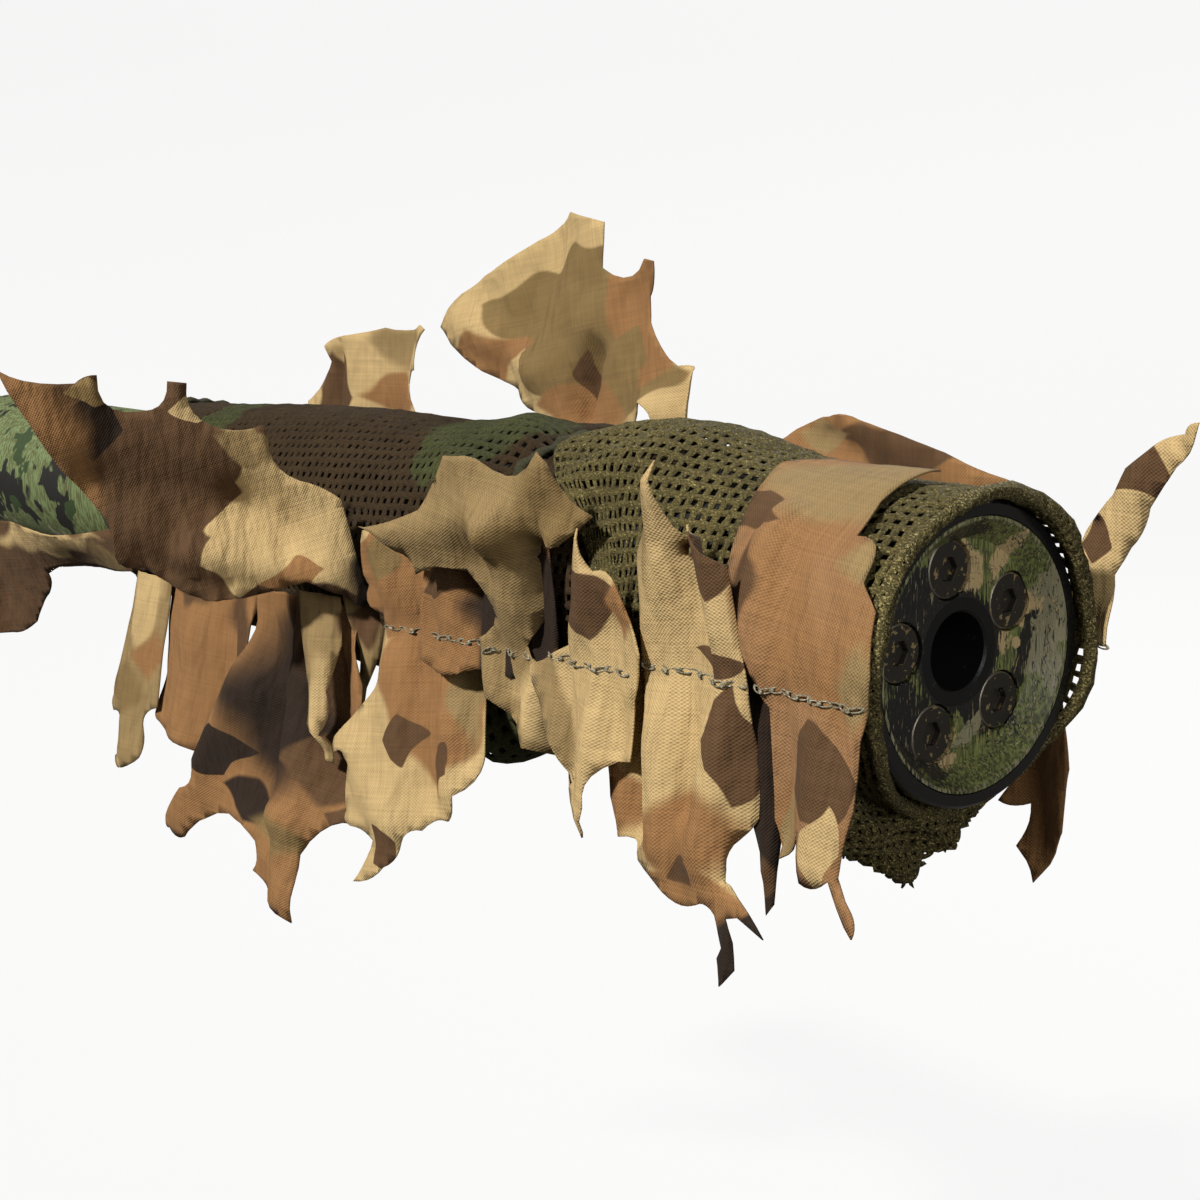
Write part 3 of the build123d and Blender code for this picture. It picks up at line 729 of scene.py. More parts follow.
# %% Elastics
def puckered_band(name, x, out, wide, thick, node):
    bm = bmesh.new()
    ring = bmesh.ops.create_circle(bm, segments=10, radius=1.0)["verts"]
    bmesh.ops.scale(bm, vec=(wide / 2, thick / 2, 1), verts=ring)
    bmesh.ops.translate(bm, vec=(x, out, 0), verts=ring)
    bmesh.ops.spin(bm, geom=bm.verts[:] + bm.edges[:], cent=(0, 0, 0), axis=(1, 0, 0),
                   angle=2 * math.pi, steps=160, use_merge=True)
    for vert in bm.verts:
        turn = math.atan2(vert.co.z, -vert.co.y)
        pucker = 1 + 0.012 * math.sin(turn * 34) + 0.008 * math.sin(turn * 13 + 1)
        vert.co.y *= pucker
        vert.co.z *= pucker
        vert.co.x += 0.5 * math.sin(turn * 17)
    bmesh.ops.scale(bm, vec=(MM, MM, MM), verts=bm.verts)
    bmesh.ops.recalc_face_normals(bm, faces=bm.faces)
    piece = cover_piece(name, bm, elastic_band, [node])
    print(name, "faces:", len(piece.data.polygons))


puckered_band("middle_elastic", OVERLAP_BACK - 1.5, 28.4, 3.2, 1.6, "mid_elastic")
puckered_band("rear_elastic_band", REAR_EDGE - 1.2, 26.0, 4.0, 1.6, "rear_elastic")

# %% [markdown]
# ## Cloth leaves
#
# A leaf is drawn flat, as its cutter would: corners joined by straight cuts, or by a round
# bay where the knife scooped. The flat face is sliced into small squares, so it can bend,
# and each point keeps its flat place as a UV map, which the print and the weave follow.
# Then it is hung: from a seam at v = 0 the cloth goes up and down along a gentle curve,
# or hugs the sleeve, with folds laid over it. Thickness comes last.

# %% Cut a leaf
SQUARE = 2.3              # the cloth's squares
CLOTH_THICK = 0.34
BAY_STEPS = 5             # cuts to a round bay
FOLD_DEPTH = 1.8          # multiplies the height of every fold
SEAM_STEP = 0.7           # between the places tried for a stitch


def round_bay(start, end, bow):
    """Points after start along an arc that sinks by bow to the right of the way to end."""
    (x0, y0), (x1, y1) = start, end
    long = math.hypot(x1 - x0, y1 - y0)
    points = []
    for step in range(1, BAY_STEPS):
        t = step / BAY_STEPS
        sink = bow * 4 * t * (1 - t)
        points.append((x0 + (x1 - x0) * t + (y1 - y0) / long * sink,
                       y0 + (y1 - y0) * t - (x1 - x0) / long * sink))
    return points


def spread(points):
    """Width and height of the box round flat points."""
    across, up = zip(*points)
    return max(across) - min(across), max(up) - min(up)


def cut_leaf(corners):
    """Flat leaf in millimetres. Corners are (u, v) or (u, v, bay), clockwise."""
    points = []
    for corner, following in zip(corners, corners[1:] + corners[:1]):
        points.append(corner[:2])
        if len(corner) > 2:
            points += round_bay(corner[:2], following[:2], corner[2])
    bm = bmesh.new()
    bm.faces.new([bm.verts.new((u, v, 0)) for u, v in reversed(points)])
    for axis in (0, 1):
        values = [point[axis] for point in points]
        across = Vector((1 - axis, axis, 0))
        at = min(values) + SQUARE * 0.43
        while at < max(values):
            bmesh.ops.bisect_plane(bm, geom=bm.verts[:] + bm.edges[:] + bm.faces[:], dist=0.001,
                                   plane_co=across * at, plane_no=across)
            at += SQUARE
    odd = [face for face in bm.faces if len(face.verts) > 4]
    bmesh.ops.triangulate(bm, faces=odd)
    area = sum(face.calc_area() for face in bm.faces)
    flat_map = bm.loops.layers.uv.new(CUT_MAP)
    for face in bm.faces:
        for loop in face.loops:
            loop[flat_map].uv = (loop.vert.co.x / CUT_SCALE, loop.vert.co.y / CUT_SCALE)
    return bm, area, spread(points)


# %% Hang a leaf
def fold_height(u, v, fold):
    """Height at (u, v) of a rounded ridge along a line: (u, v, u, v, height, width)."""
    u0, v0, u1, v1, height, width = fold
    du, dv = u1 - u0, v1 - v0
    share = ((u - u0) * du + (v - v0) * dv) / (du * du + dv * dv)
    share = max(0.0, min(1.0, share))
    gone = math.hypot(u - u0 - du * share, v - v0 - dv * share)
    return height * math.exp(-(gone / width) ** 2)


def hanging_place(root, turn, above, below, cup=0.0):
    """Function from the flat cloth to the frame. Above and below are the cloth's two halves:
    ("hang", lean in degrees, curl in degrees a millimetre) or ("hug", radius)."""
    turn = math.radians(turn)
    along = Vector((math.cos(turn), math.sin(turn), 0))
    outwards = Vector((math.sin(turn), -math.cos(turn), 0))

    def place(u, v, lift):
        up = 1 if v >= 0 else -1
        manner = above if v >= 0 else below
        if manner[0] == "hug":
            side = 1 if outwards.y < 0 else -1
            angle = math.atan2(root[2], abs(root[1])) + v / manner[1]
            point = around(root[0] + u * side, angle, manner[1] + lift)
            return Vector((point.x, point.y * side, point.z))
        lean, curl = math.radians(manner[1]), math.radians(manner[2])
        reach_v = abs(v)
        angle = lean + curl * reach_v
        if abs(curl) > 1e-6:
            rise = (math.sin(angle) - math.sin(lean)) / curl
            out = (math.cos(lean) - math.cos(angle)) / curl
        else:
            rise = reach_v * math.cos(lean)
            out = reach_v * math.sin(lean)
        out += cup * u * u / 2 + lift * math.cos(angle)
        rise -= lift * math.sin(angle)
        return Vector(root) + along * u + Vector((0, 0, up * rise)) + outwards * out

    return place


seam_runs = {"near": [], "far": []}


def leaf(name, node, corners, place, print_finish, folds=(), pleats=0.5, seam=None, wave=1.0):
    """Cuts and hangs one leaf. Seam is (side, from, to), the stretch sewn through."""
    bm, area, (wide, high) = cut_leaf(corners)
    shift = Vector((len(name) * 7.3, len(corners) * 3.1, 0))

    def lift(u, v):
        free = 1 - math.exp(-(v / 7) ** 2)
        out = FOLD_DEPTH * sum(fold_height(u, v, fold) for fold in folds) * (0.25 + 0.75 * free)
        out += wave * free * 1.3 * noise.noise(Vector((u, v, 0)) / 19 + shift)
        out += wave * (0.3 + 0.7 * free) * 0.3 * noise.noise(Vector((u, v, 0)) / 6.5 + shift)
        return out + pleats * 1.3 * math.sin(u * 1.05 + shift.x) * math.exp(-abs(v) / 12)

    for vert in bm.verts:
        u, v = vert.co.x, vert.co.y
        vert.co = place(u, v, lift(u, v)) * MM
    piece = cover_piece(name, bm, print_finish, node)
    thicken(piece, CLOTH_THICK)
    wide * MM
    high * MM
    area * MM * MM
    if seam:
        side, start, end = seam
        steps = max(2, round(abs(end - start) / SEAM_STEP))
        run = [start + (end - start) * step / steps for step in range(steps + 1)]
        seam_runs[side].append([place(u, 0, lift(u, 0) + CLOTH_THICK) for u in run])
    print(f"{name}: flat {wide:.0f} x {high:.0f} mm, area {area:.0f} mm2,",
          f"{area / (wide * high):.2f} of its box, faces {len(piece.data.polygons)}")


# %% [markdown]
# ### Front leaf
#
# The foremost leaf is pulled tight round the end of the sleeve, up the near side and over
# the top, and its lower half hangs free in three tongues and a long thin tail.

# %% Front leaf
leaf("front_wrap_leaf", ["front_leaf", "front_wrap"],
     [(-12.5, 4.5), (-19, 19), (-24, 36), (-27, 44, -1), (-16, 50, 1), (2.5, 50.5),
      (3.5, 35, -0.5), (4.5, 27, -2), (10.5, 22.5), (10.5, 19.5), (14.5, 15.5), (15.5, 5.5),
      (14.5, 0), (13, -5), (12.5, -16, 0.5), (10, -27), (13.8, -31.5, -0.6), (14.2, -35.5),
      (12.6, -34), (8.5, -27.8, -1), (2.5, -29.5), (1.5, -20.5, -1), (-3, -27), (-5, -21),
      (-6, -3)],
     hanging_place((-8, -28.4, -4.2), 0, ("hug", 28.9), ("hang", 4, 0)),
     printed_cotton("cotton_front", RUST,
                    [(KHAKI, -4, 40, 22, 12, 0, 0.25), (KHAKI, 9, 24, 6, 5, 20, 0.3),
                     (BROWN, -21, 31, 13, 5.5, -15, 0), (BROWN, -14, 13, 3.5, 12, 5, 0.25),
                     (KHAKI, 13, 3, 6, 6, 0, 0.3), (BROWN, 5.5, -12, 8.5, 8, 10, 0),
                     (KHAKI, -3, -22, 3.2, 9, 0, 0.05), (TAN, 6.5, -24, 3.6, 8, 0, 0)],
                    grain=6, wash=ink(0.25, 0.135, 0.06)),
     folds=[(-9, 2, -12, 28, 1.8, 3.4), (-4, 4, -5, 20, -0.7, 3), (-2.5, -1, -2.5, -24, -1.5, 2.6),
            (4.5, -1, 4.5, -26, 0.9, 2.4), (11, 0, 11, -26, -0.8, 2.4)],
     seam=("near", -9, 13.5), wave=0.45)

# %% [markdown]
# ### Blade leaf
#
# Two blades stand up beside the front leaf, and below the seam the same cloth is gathered
# into a long wedge that ends in thin, ragged tails.

# %% Blade leaf
leaf("twin_blade_leaf", ["blade_leaf"],
     [(-18, -0.5), (-10.5, 1), (-7.5, 19.5), (2, 36.5, 0.6), (3.5, 22.5), (3, 19.5), (7, 26, 0.6),
      (14, 19.5), (15, 6), (16, 2.5), (15.5, -6.5), (16.5, -22), (14, -26.5, 0.5),
      (14, -32.5, -0.5), (24, -39.5), (18, -37.5), (15, -38.5), (17, -42), (17.5, -46.5), (14.5, -50),
      (13.5, -45.5), (14.5, -43.5), (12.5, -38.5, 1), (8, -38, -1), (-0.5, -38), (-7, -34, 1.5),
      (-13.5, -31.5), (-16.5, -25), (-18, -15)],
     hanging_place((-34, -30, -4.2), 0, ("hang", 4, 0.3), ("hang", 6, 0)),
     printed_cotton("cotton_blade", TAN,
                    [(KHAKI, -5, 28, 5, 14, 5, 0.3), (BROWN, 9.5, 21, 7, 7.5, 0, 0),
                     (RUST, 16, 14, 4, 8, 0, 0.3), (BROWN, 10, 3.6, 8, 2.8, -8, 0),
                     (RUST, 6, -27, 15, 9, 5, 0.2), (RUST, -15, -26, 8, 7, 5, 0.2),
                     (BROWN, 13.5, -10, 5.5, 10, 0, 0), (RUST, 6, -37, 16, 6, 0, 0.1),
                     (KHAKI, -13, -9, 3.6, 12, 0, 0.25), (DARK, 15, -44, 9, 7, 0, 0.2),
                     (DARK, 22, -38, 5, 3, 0, 0.2), (BROWN, 4, -33, 3, 3, 30, 0.1)],
                    grain=-4),
     folds=[(-6, 2, 1, 33, 2.0, 3.0), (4.8, 0, 5, 22, -2.0, 2.2), (11, 2, 9, 24, 1.4, 3),
            (-12, -1, -9, -28, -2.2, 3.2), (-4, -1, -2, -30, 2.0, 3.6), (3, -1, 4, -22, -1.8, 3),
            (9, -1, 9, -30, 1.8, 3.4), (17, -1, 16, -30, -2.4, 2.6)],
     pleats=0.7, seam=("near", -11, 15.5))

# %% [markdown]
# ### Slim leaf and the dark fold behind it
#
# Between the blades and the star hangs one slim leaf, tan at its ends and brown in the
# middle, over a narrow strip of cloth that shows in the gap, coloured near black as
# painted shade.

# %% Slim leaf
leaf("slim_tan_leaf", ["slim_leaf"],
     [(-12.5, -3), (0, 3.5), (4, 15), (7.5, 25, 0.5), (9, 17.5, -1), (14, 15.5), (18.5, 4),
      (15.5, -4.5), (15.5, -15), (11, -16, 1.5), (7, -24.5), (5, -30.5), (3.5, -27.5), (-3, -18.5)],
     hanging_place((-58, -33.5, -6), 0, ("hang", 6, 0), ("hang", 5, 0)),
     printed_cotton("cotton_slim", TAN,
                    [(BROWN, 5, 12, 9, 6.5, 0, 0), (KHAKI, -7, -6, 5, 14, 20, 0.2),
                     (RUST, 14, 12, 4, 6, 0, 0.2)], grain=3),
     folds=[(2, 1, 8, 24, 1.6, 2.6), (-2, -1, 0, -20, -1.6, 2.2), (6, -1, 6, -26, 1.6, 2.8),
            (12, 8, 12, -14, -1.8, 2.4)],
     pleats=0.6, seam=("near", -8, 15))

# Near black as painted shade: a strip of cloth folded back under, in the shaded gap, brown at its
# lower end.
leaf("dark_strip", [],
     [(-5, 4), (6, 4), (5, -22), (3.6, -36), (2.2, -38), (1.4, -27), (-1, -20), (-4, -8)],
     hanging_place((-19.5, -26.4, -5), 30, ("hang", 2, 0), ("hang", 2, 0)),
     printed_cotton("cotton_dark_strip", DARK, [(BROWN, 1, -32, 3, 5, 0, 0.2)]),
     folds=[(2, 0, 2, -30, 0.8, 2)], pleats=0.2)

# %% [markdown]
# ### Star leaf
#
# The star stands off the sleeve at its top, where it catches the light, and hollows
# between its five points. Its lower half is gathered into deep pleats under the seam.

# %% Star leaf
leaf("olive_star_leaf", ["star_leaf"],
     [(-2.5, 2, 2.5), (0.5, 10.5, 1), (-5, 15, 1), (-15, 13.5, 1), (-17.5, 18.5, 1.5),
      (-27.5, 22, 0.5), (-11.5, 26.5), (-4.5, 37), (1, 37.5), (3, 37, 4), (17, 39), (19, 37, 2),
      (26, 27.5), (20, 22.5, 1), (11.5, 18.5), (13, 11, -1), (9, 2), (13, -4), (15, -20),
      (6, -14), (-1, -9)],
     hanging_place((-84, -32.5, -8), 18, ("hang", 14, -0.2), ("hang", 4, 0)),
     printed_cotton("cotton_star", KHAKI,
                    [(OLIVE, 20, 28, 12, 12, 20, 0.4), (TAN, 14, -9, 9, 9, 0, 0.3),
                     (OLIVE, 3, 22, 10, 5, 30, 0.4), (BROWN, 20, 6, 3, 6, 0, 0.3)], grain=12),
     folds=[(8, 2, 6, 26, 2.6, 3.2), (6, 26, -22, 21, 1.2, 4), (8, 24, 18, 38, 1.6, 4),
            (14, 4, 13, 20, -2.6, 2.6), (18, 3, 19, 24, 2.2, 2.4), (2, 24, 0, 37, 0.9, 4),
            (4, -1, 5, -12, -2.0, 2), (9, -1, 10, -18, 2.2, 2.2), (14.5, -1, 14, -20, -2, 2)],
     pleats=0.9, seam=("near", -1, 10))

# Under the star: its left part is cloth showing under the star, and its right part, in the DARK
# patch, is a sheet of painted shadow that fills the slot shaded by the star's overhang.
leaf("star_under_leaf", [],
     [(-19, 3), (-16, 19, 1), (-7, 24), (4, 23, -1), (16, 20), (18, 4), (17, -6), (3, -5, 1),
      (-10, -7, -1), (-19, -5)],
     hanging_place((-86, -31.2, -8), 8, ("hang", 2, 0), ("hang", 6, 0)),
     printed_cotton("cotton_star_under", RUST,
                    [(BROWN, -8, 14, 10, 6, 30, 0), (OLIVE, -14, 18, 7, 5, 0, 0),
                     (DARK, 8, 6, 14, 26, 0, 0.1)], grain=20),
     folds=[(-11, 3, -10, 20, 1.6, 3), (-3, 2, -6, 18, -1.2, 3)],
     pleats=0.6, seam=("near", -17, -1))

# %% [markdown]
# ### Hanging leaf
#
# Under the back of the seam hangs the largest of the near leaves. It is tan with square
# brown patches, and its edge is scooped into round bays between short tongues.

# %% Hanging leaf
leaf("hanging_tongue_leaf", ["hanging_leaf"],
     [(-7.5, 2, -2), (-10, 8, -2), (-11, 19), (-3, 20.5), (4, 14.5), (13, 7.5), (19.5, 1.5),
      (21, -9.5), (22, -20, -2), (17, -30.5, -0.5), (14.5, -36, 1), (8, -39, 1), (4, -42, -1),
      (-1, -48, -1), (-9.5, -52.5, 0.5), (-4, -43, 0.5), (-11.5, -41.5, -1), (-13, -38.5, -1.5),
      (-12, -29, 1.5), (-18.5, -27.5, -1), (-18, -23.5, 0.5), (-6, -10.5), (-5.5, -5)],
     hanging_place((-114, -31, -9), 12, ("hang", 3, 0), ("hang", 10, 0)),
     printed_cotton("cotton_hanging", TAN,
                    [(RUST, 9, -8, 15, 25, 8, 0.05), (BROWN, 1, -21, 5.2, 5.8, 10, 0),
                     (BROWN, 13.5, -25, 4.2, 5.6, -10, 0), (BROWN, 16, -1, 6, 5, -35, 0),
                     (BROWN, 0, -44, 5.2, 4.6, 35, 0), (RUST, -4, 11, 13, 13, 0, 0),
                     (OLIVE, -6, 14, 6, 6, 0, 0),
                     (KHAKI, 18, -10, 3.5, 10, 0, 0.3)], grain=-8),
     folds=[(-3, -2, 1, -36, 1.4, 4.5), (6, 1, 9, -30, -1.2, 4), (12, 1, 15, -30, 1.6, 4.2),
            (18, 1, 19, -22, -1.2, 3), (-12, -27, 0, -40, 1.2, 4), (-2, 4, -7, 18, 1.6, 3)],
     pleats=0.6, seam=("near", -6, 19))

# %% [markdown]
# ### Curled leaf
#
# A narrow leaf that has curled on itself into thin, bright strips with a slot between.

# %% Curled leaf
for number, (shape, root, turn) in enumerate([
        ([(-3, 3), (7.5, 2), (8, -8), (5, -18, -1), (4, -27, -1), (6.5, -33), (4.5, -32.5, 1.5),
          (0.5, -25, 1), (0, -15), (-2, -5)], (-146, -35, -8), 28),
        ([(5, 3), (15.5, 2), (15, -6), (10.5, -17), (9.5, -25), (7.6, -20, 0.5), (9, -9), (6, -2)],
         (-144, -33.4, -8), 34)]):
    leaf(f"curled_strip_{number + 1}", ["curled_leaf"] if number == 0 else [], shape,
         hanging_place(root, turn, ("hang", 4, 0), ("hang", 7, 0)),
         printed_cotton(f"cotton_curl_{number + 1}", KHAKI,
                        [(TAN, 4, -24, 9, 12, 0, 0.3), (BROWN, 11, -3, 5, 5, 0, 0.2)]),
         folds=[(3, 0, 3, -28, 1.6, 1.8)], pleats=0.3)

# %% [markdown]
# ### Big rear leaf
#
# The biggest leaf is sewn at one end only and springs out towards the viewer, up and back,
# in a shallow cup. It is nearer than anything else at the rear, so its print reads large:
# brown over most of its length, with tan showing at its root and along its bays.

# %% Big leaf
leaf("big_sprung_leaf", ["big_leaf"],
     [(1, 0.5), (-5, 4.5), (-12, 7.5), (-20, 5, -0.5), (-33, 3.5, -0.5), (-45, 10.5, -2),
      (-50.5, 15, 1), (-53, 22.5), (-59, 31), (-64, 41.5), (-69.5, 51.5, 1), (-55.5, 48.5, -0.5),
      (-51.5, 50, 3.5), (-43.5, 42.5, 2), (-38, 48.5), (-34.5, 48, 2), (-29.5, 39.5, 1),
      (-19.5, 39.5), (-18.5, 37, 2), (-12.5, 28, -0.5), (-4.5, 24), (-1, 11), (2, 3.5)],
     hanging_place((-133, -29, -9), 51, ("hang", 0, 0), ("hang", 0, 0), cup=0.004),
     printed_cotton("cotton_big", BROWN,
                    [(TAN, -17, 21, 14, 19, 12, 0), (TAN, -33, 43.5, 7, 4.5, 0, 0),
                     (DARK, -52, 41, 7, 7, 0, 0), (OLIVE, -53, 47.5, 4, 2.4, 0, 0),
                     (KHAKI, -22, 37, 8, 5, 0, 0.1), (TAN, -9, 16, 10, 12, 30, 0),
                     (BROWN, -33, 27, 8, 10, 0, 0), (RUST, -15, 8, 8, 3.6, 5, 0),
                     (RUST, -60, 38, 7, 18, 20, 0.4), (TAN, -24, 12, 9, 7, 0, 0),
                     # The soft DARK patch at the root is painted shade at the sewn end.
                     (DARK, 0, 9, 4, 9, -20, 0.5)], grain=-18),
     folds=[(-2, 4, -34, 12, 2.4, 6), (-14, 20, -52, 28, -2.6, 8), (-6, 14, -24, 40, 2.2, 6),
            (-44, 22, -66, 48, 2.2, 6), (-30, 30, -40, 48, 1.4, 5), (-18, 5, -46, 10, -1.6, 4)],
     pleats=0.8, wave=1.5)

# %% [markdown]
# ### Rear leaves
#
# Behind the big leaf three more hang from the seam: a wide star with a deep round bay, a
# plain rust one and a narrow one with a hooked tip.

# %% Rear star leaf
leaf("rear_star_tongue_leaf", ["rear_star_leaf"],
     [(-7, 2.5), (31, 4), (38, -12), (40, -28), (39, -40.5, 2.5), (25, -50.5, -0.5),
      (24, -65.5), (2, -59.5, 1.5), (2, -53, 6), (-28.5, -59, -1), (-36, -58.5, -2), (-38, -56),
      (-27.5, -47, 2.5), (-23.5, -39.5), (-15.5, -23)],
     hanging_place((-170, -29.5, -12), 0, ("hang", 0, 0), ("hang", 10, 0)),
     printed_cotton("cotton_rear_star", RUST,
                    # The first, large soft DARK patch is painted shadow, cast by the big leaf over
                    # this one.
                    [(DARK, 8, -22, 26, 24, 0, 0.3), (DARK, -16, -36, 12, 5, 15, 0),
                     (DARK, -4, -45, 12, 4.4, -10, 0.1), (OLIVE, 13, -48, 14, 7, 0, 0.25),
                     (BROWN, 29, -31, 11, 8, 0, 0.1), (BROWN, 36, -40, 5, 4, 0, 0.1)], grain=9),
     folds=[(2, -4, 4, -42, -3.2, 7), (16, -4, 20, -60, 2.6, 6), (-10, -20, -30, -54, 2.0, 6),
            (26, -10, 34, -36, -2.0, 5), (4, -42, 22, -44, 1.6, 4)],
     pleats=0.8, wave=1.6)

# %% Rust leaf and narrow leaf
leaf("plain_rust_leaf", ["rust_leaf"],
     [(-23, -3), (20.5, 2), (11.5, -23.5), (3.5, -40.5), (-23, -36, -1), (-24.5, -33),
      (-21.5, -24)],
     hanging_place((-200, -28, -12), 0, ("hang", 0, 0), ("hang", 10, 0)),
     printed_cotton("cotton_rust", RUST, [(BROWN, 12, -8, 6, 14, 10, 0.3),
                                          (BROWN, -12, -2, 14, 4, 0, 0.3)], grain=4),
     folds=[(-8, -2, -8, -38, 1.6, 7), (6, -2, 4, -38, -1.8, 5)], pleats=0.6)

leaf("narrow_hook_leaf", ["narrow_leaf"],
     [(-10.5, -1), (8.5, -1), (7.5, -32.5), (4.5, -33.5, 1.5), (2.5, -39, -1), (2, -46, -1),
      (-7, -50, -1.5), (-11.5, -48, 2), (-8, -40, 1.5), (-14.5, -37, -1), (-14.5, -33)],
     hanging_place((-229, -29.5, -12), 0, ("hang", 0, 0), ("hang", 10, 0)),
     printed_cotton("cotton_narrow", KHAKI,
                    [(TAN, -3, -6, 9, 12, 0, 0.2), (RUST, 2, -20, 7, 6, 0, 0.25),
                     (OLIVE, -7, -30, 8, 8, 0, 0.3), (TAN, -7, -48, 4, 2.4, 0, 0.3)]),
     folds=[(-4, -2, -4, -46, 1.6, 4)], pleats=0.4)

# %% [markdown]
# ### Trailing leaf
#
# At the very back a leaf runs along beside the tail as a narrow twisted ribbon, then
# turns down into a broad end that stands out to the side.

# %% Trailing leaf
def trailing_place(u, v, lift):
    """Along the tail as u falls, then turning out and down past the fold."""
    past = max(0.0, -u - 92)
    twist = math.radians(8 + 40 * bump_at(u, -42, 26))
    swing = math.radians(-24)
    x = -246 + u + past * (1 - math.cos(swing))
    y = -27.6 - past * math.sin(-swing) - lift
    z = -8 + u * 0.115 - past * 0.16
    return Vector((x, y - v * math.sin(twist), z + v * math.cos(twist)))


leaf("trailing_ribbon_leaf", ["trailing_leaf"],
     [(2, 6), (10, 2), (8, -6), (-30, -8, -1), (-57, -7.5), (-64, -9, -1), (-68, -15, 1),
      (-78, -23, -1), (-92, -26), (-104, -24, 2), (-116, -22, 2), (-140, -20),
      (-146, -6, 1), (-128, 1, 1), (-106, 4), (-92, 9), (-86, 8), (-64, 7.5), (-40, 5, 1)],
     trailing_place,
     printed_cotton("cotton_trailing", BROWN,
                    [(TAN, -52, 3, 34, 6, 0, 0.25), (OLIVE, -20, -4, 14, 5, 0, 0.3),
                     (DARK, -112, -14, 14, 10, 0, 0.4), (RUST, -128, -8, 14, 8, 0, 0.4)]),
     folds=[(-2, 0, -84, 0, 1.6, 3.4), (-90, 2, -134, -14, 2.6, 7)], pleats=0.2, wave=1.6)

# %% [markdown]
# ### Far leaves
#
# The far side carries its own row of leaves. Only their tops are seen from the front,
# standing above the sleeve against the light, but each is a whole leaf with its seam, for
# the views from behind.

# %% Far tall leaf
leaf("far_tall_leaf_cloth", ["far_tall_leaf"],
     [(-9, 0), (-4, 20), (-2.5, 28.5), (-7.5, 35.5, 1.5), (-13, 32), (-14.5, 26), (-22, 26),
      (-23, 42, -1), (-17.5, 44), (-7, 53), (-6, 58.5, -1), (-9, 66), (-5.5, 66.5, 3), (8, 64.5),
      (7.5, 74.5), (21.5, 77), (34.5, 71, 0.8), (53, 62.5), (61.5, 58), (65, 54.5),
      (69.5, 50, -2), (39.5, 36, -1), (29, 31), (22, 16), (18, 0), (30, -20, 1), (28, -42),
      (14, -50, 2), (0, -44), (-12, -34, -1), (-16, -16, 1)],
     hanging_place((-128, 31.8, -4), 180, ("hang", 4, 0), ("hang", 6, 0)),
     printed_cotton("cotton_far_tall", TAN,
                    [(OLIVE, 15, 54, 38, 16, 0, 0.0), (OLIVE, 10, 44, 28, 15, 0, 0.0),
                     (RUST, -8, 56, 16, 17, 10, 0.02),
                     (RUST, 52, 42, 18, 7, -20, 0.1), (RUST, 14, 33, 14, 8, 0, 0.1),
                     (OLIVE, -1, 46, 7, 5, 0, 0.05), (BROWN, 15, 41, 3, 7, 10, 0.05),
                     (KHAKI, 0, 10, 20, 22, 0, 0.3)], grain=12),
     folds=[(44, 38, 26, 74, 1.8, 7), (16, 30, 10, 46, 2.8, 3), (2, 30, -4, 60, 1.6, 7),
            (30, 40, 60, 52, -1.8, 5), (-19, 28, -20, 44, 2.2, 2.6), (-12, 24, -10, 34, -2, 3)],
     seam=("far", -8, 16), wave=1.6)

# %% Far small leaf, far front leaf and far blade
leaf("far_small_leaf_cloth", ["far_small_leaf"],
     [(-22, 0), (-27.5, 29), (-23, 36, 1.2), (-27.5, 39.5, 2.4), (-31, 49.5), (-28.5, 50.5, 1),
      (-12.5, 49.5), (-1, 47.5), (9, 46.5, -1), (16.5, 44), (15, 40, 0.8), (20, 32.5), (26, 29),
      (20, 0), (14, -20, 2), (-4, -24, 2), (-18, -18)],
     hanging_place((-226, 27.8, -4), 180, ("hang", 0, 0), ("hang", 6, 0)),
     printed_cotton("cotton_far_small", TAN,
                    [(BROWN, 15, 34, 5.5, 10, 0, 0.1), (BROWN, 4, 33, 7, 8, 0, 0.1),
                     (RUST, -17, 34, 12, 7, 0, 0.12), (KHAKI, -18, 47, 12, 6, 0, 0.3),
                     (RUST, 0, 8, 20, 18, 0, 0.3)]),
     folds=[(12, 26, 11, 44, 2.6, 3), (-2, 26, 0, 46, -1.8, 5), (-16, 24, -22, 48, 1.8, 5)],
     seam=("far", -20, 18), wave=1.4)

leaf("far_front_leaf_cloth", ["far_front_leaf"],
     [(-14, 0), (-22, 23), (-12.5, 27.5), (1, 32), (10, 34), (22, 36.5, -0.8), (30.5, 36.5, -1),
      (42, 32), (47.5, 29), (36, 12, 1), (24, 0), (6, -24, 2), (-9, -22), (-13.5, -27.5),
      (-11.5, -30.5, -0.6), (-17, -30.5, 0.6), (-15, -38.5), (-19, -44.5), (-25.5, -33.5),
      (-28, -21), (-26, -4)],
     hanging_place((-28, 28.6, -4), 180, ("hang", 0, 0), ("hang", 4, 0)),
     printed_cotton("cotton_far_front", RUST,
                    [(BROWN, 12, 33, 16, 5, 0, 0.1), (RUST, -6, 27, 12, 7, 0, 0.2),
                     (KHAKI, 32, 33, 8, 5, 0, 0.1), (RUST, -20, -24, 12, 22, 0, 0.2),
                     (BROWN, -24, -6, 7, 9, 0, 0.2)]),
     folds=[(6, 22, 36, 34, 1.6, 4), (-8, 14, -12, 28, 1.2, 4), (-16, -8, -20, -40, 1.8, 4)],
     seam=("far", -13, 22))

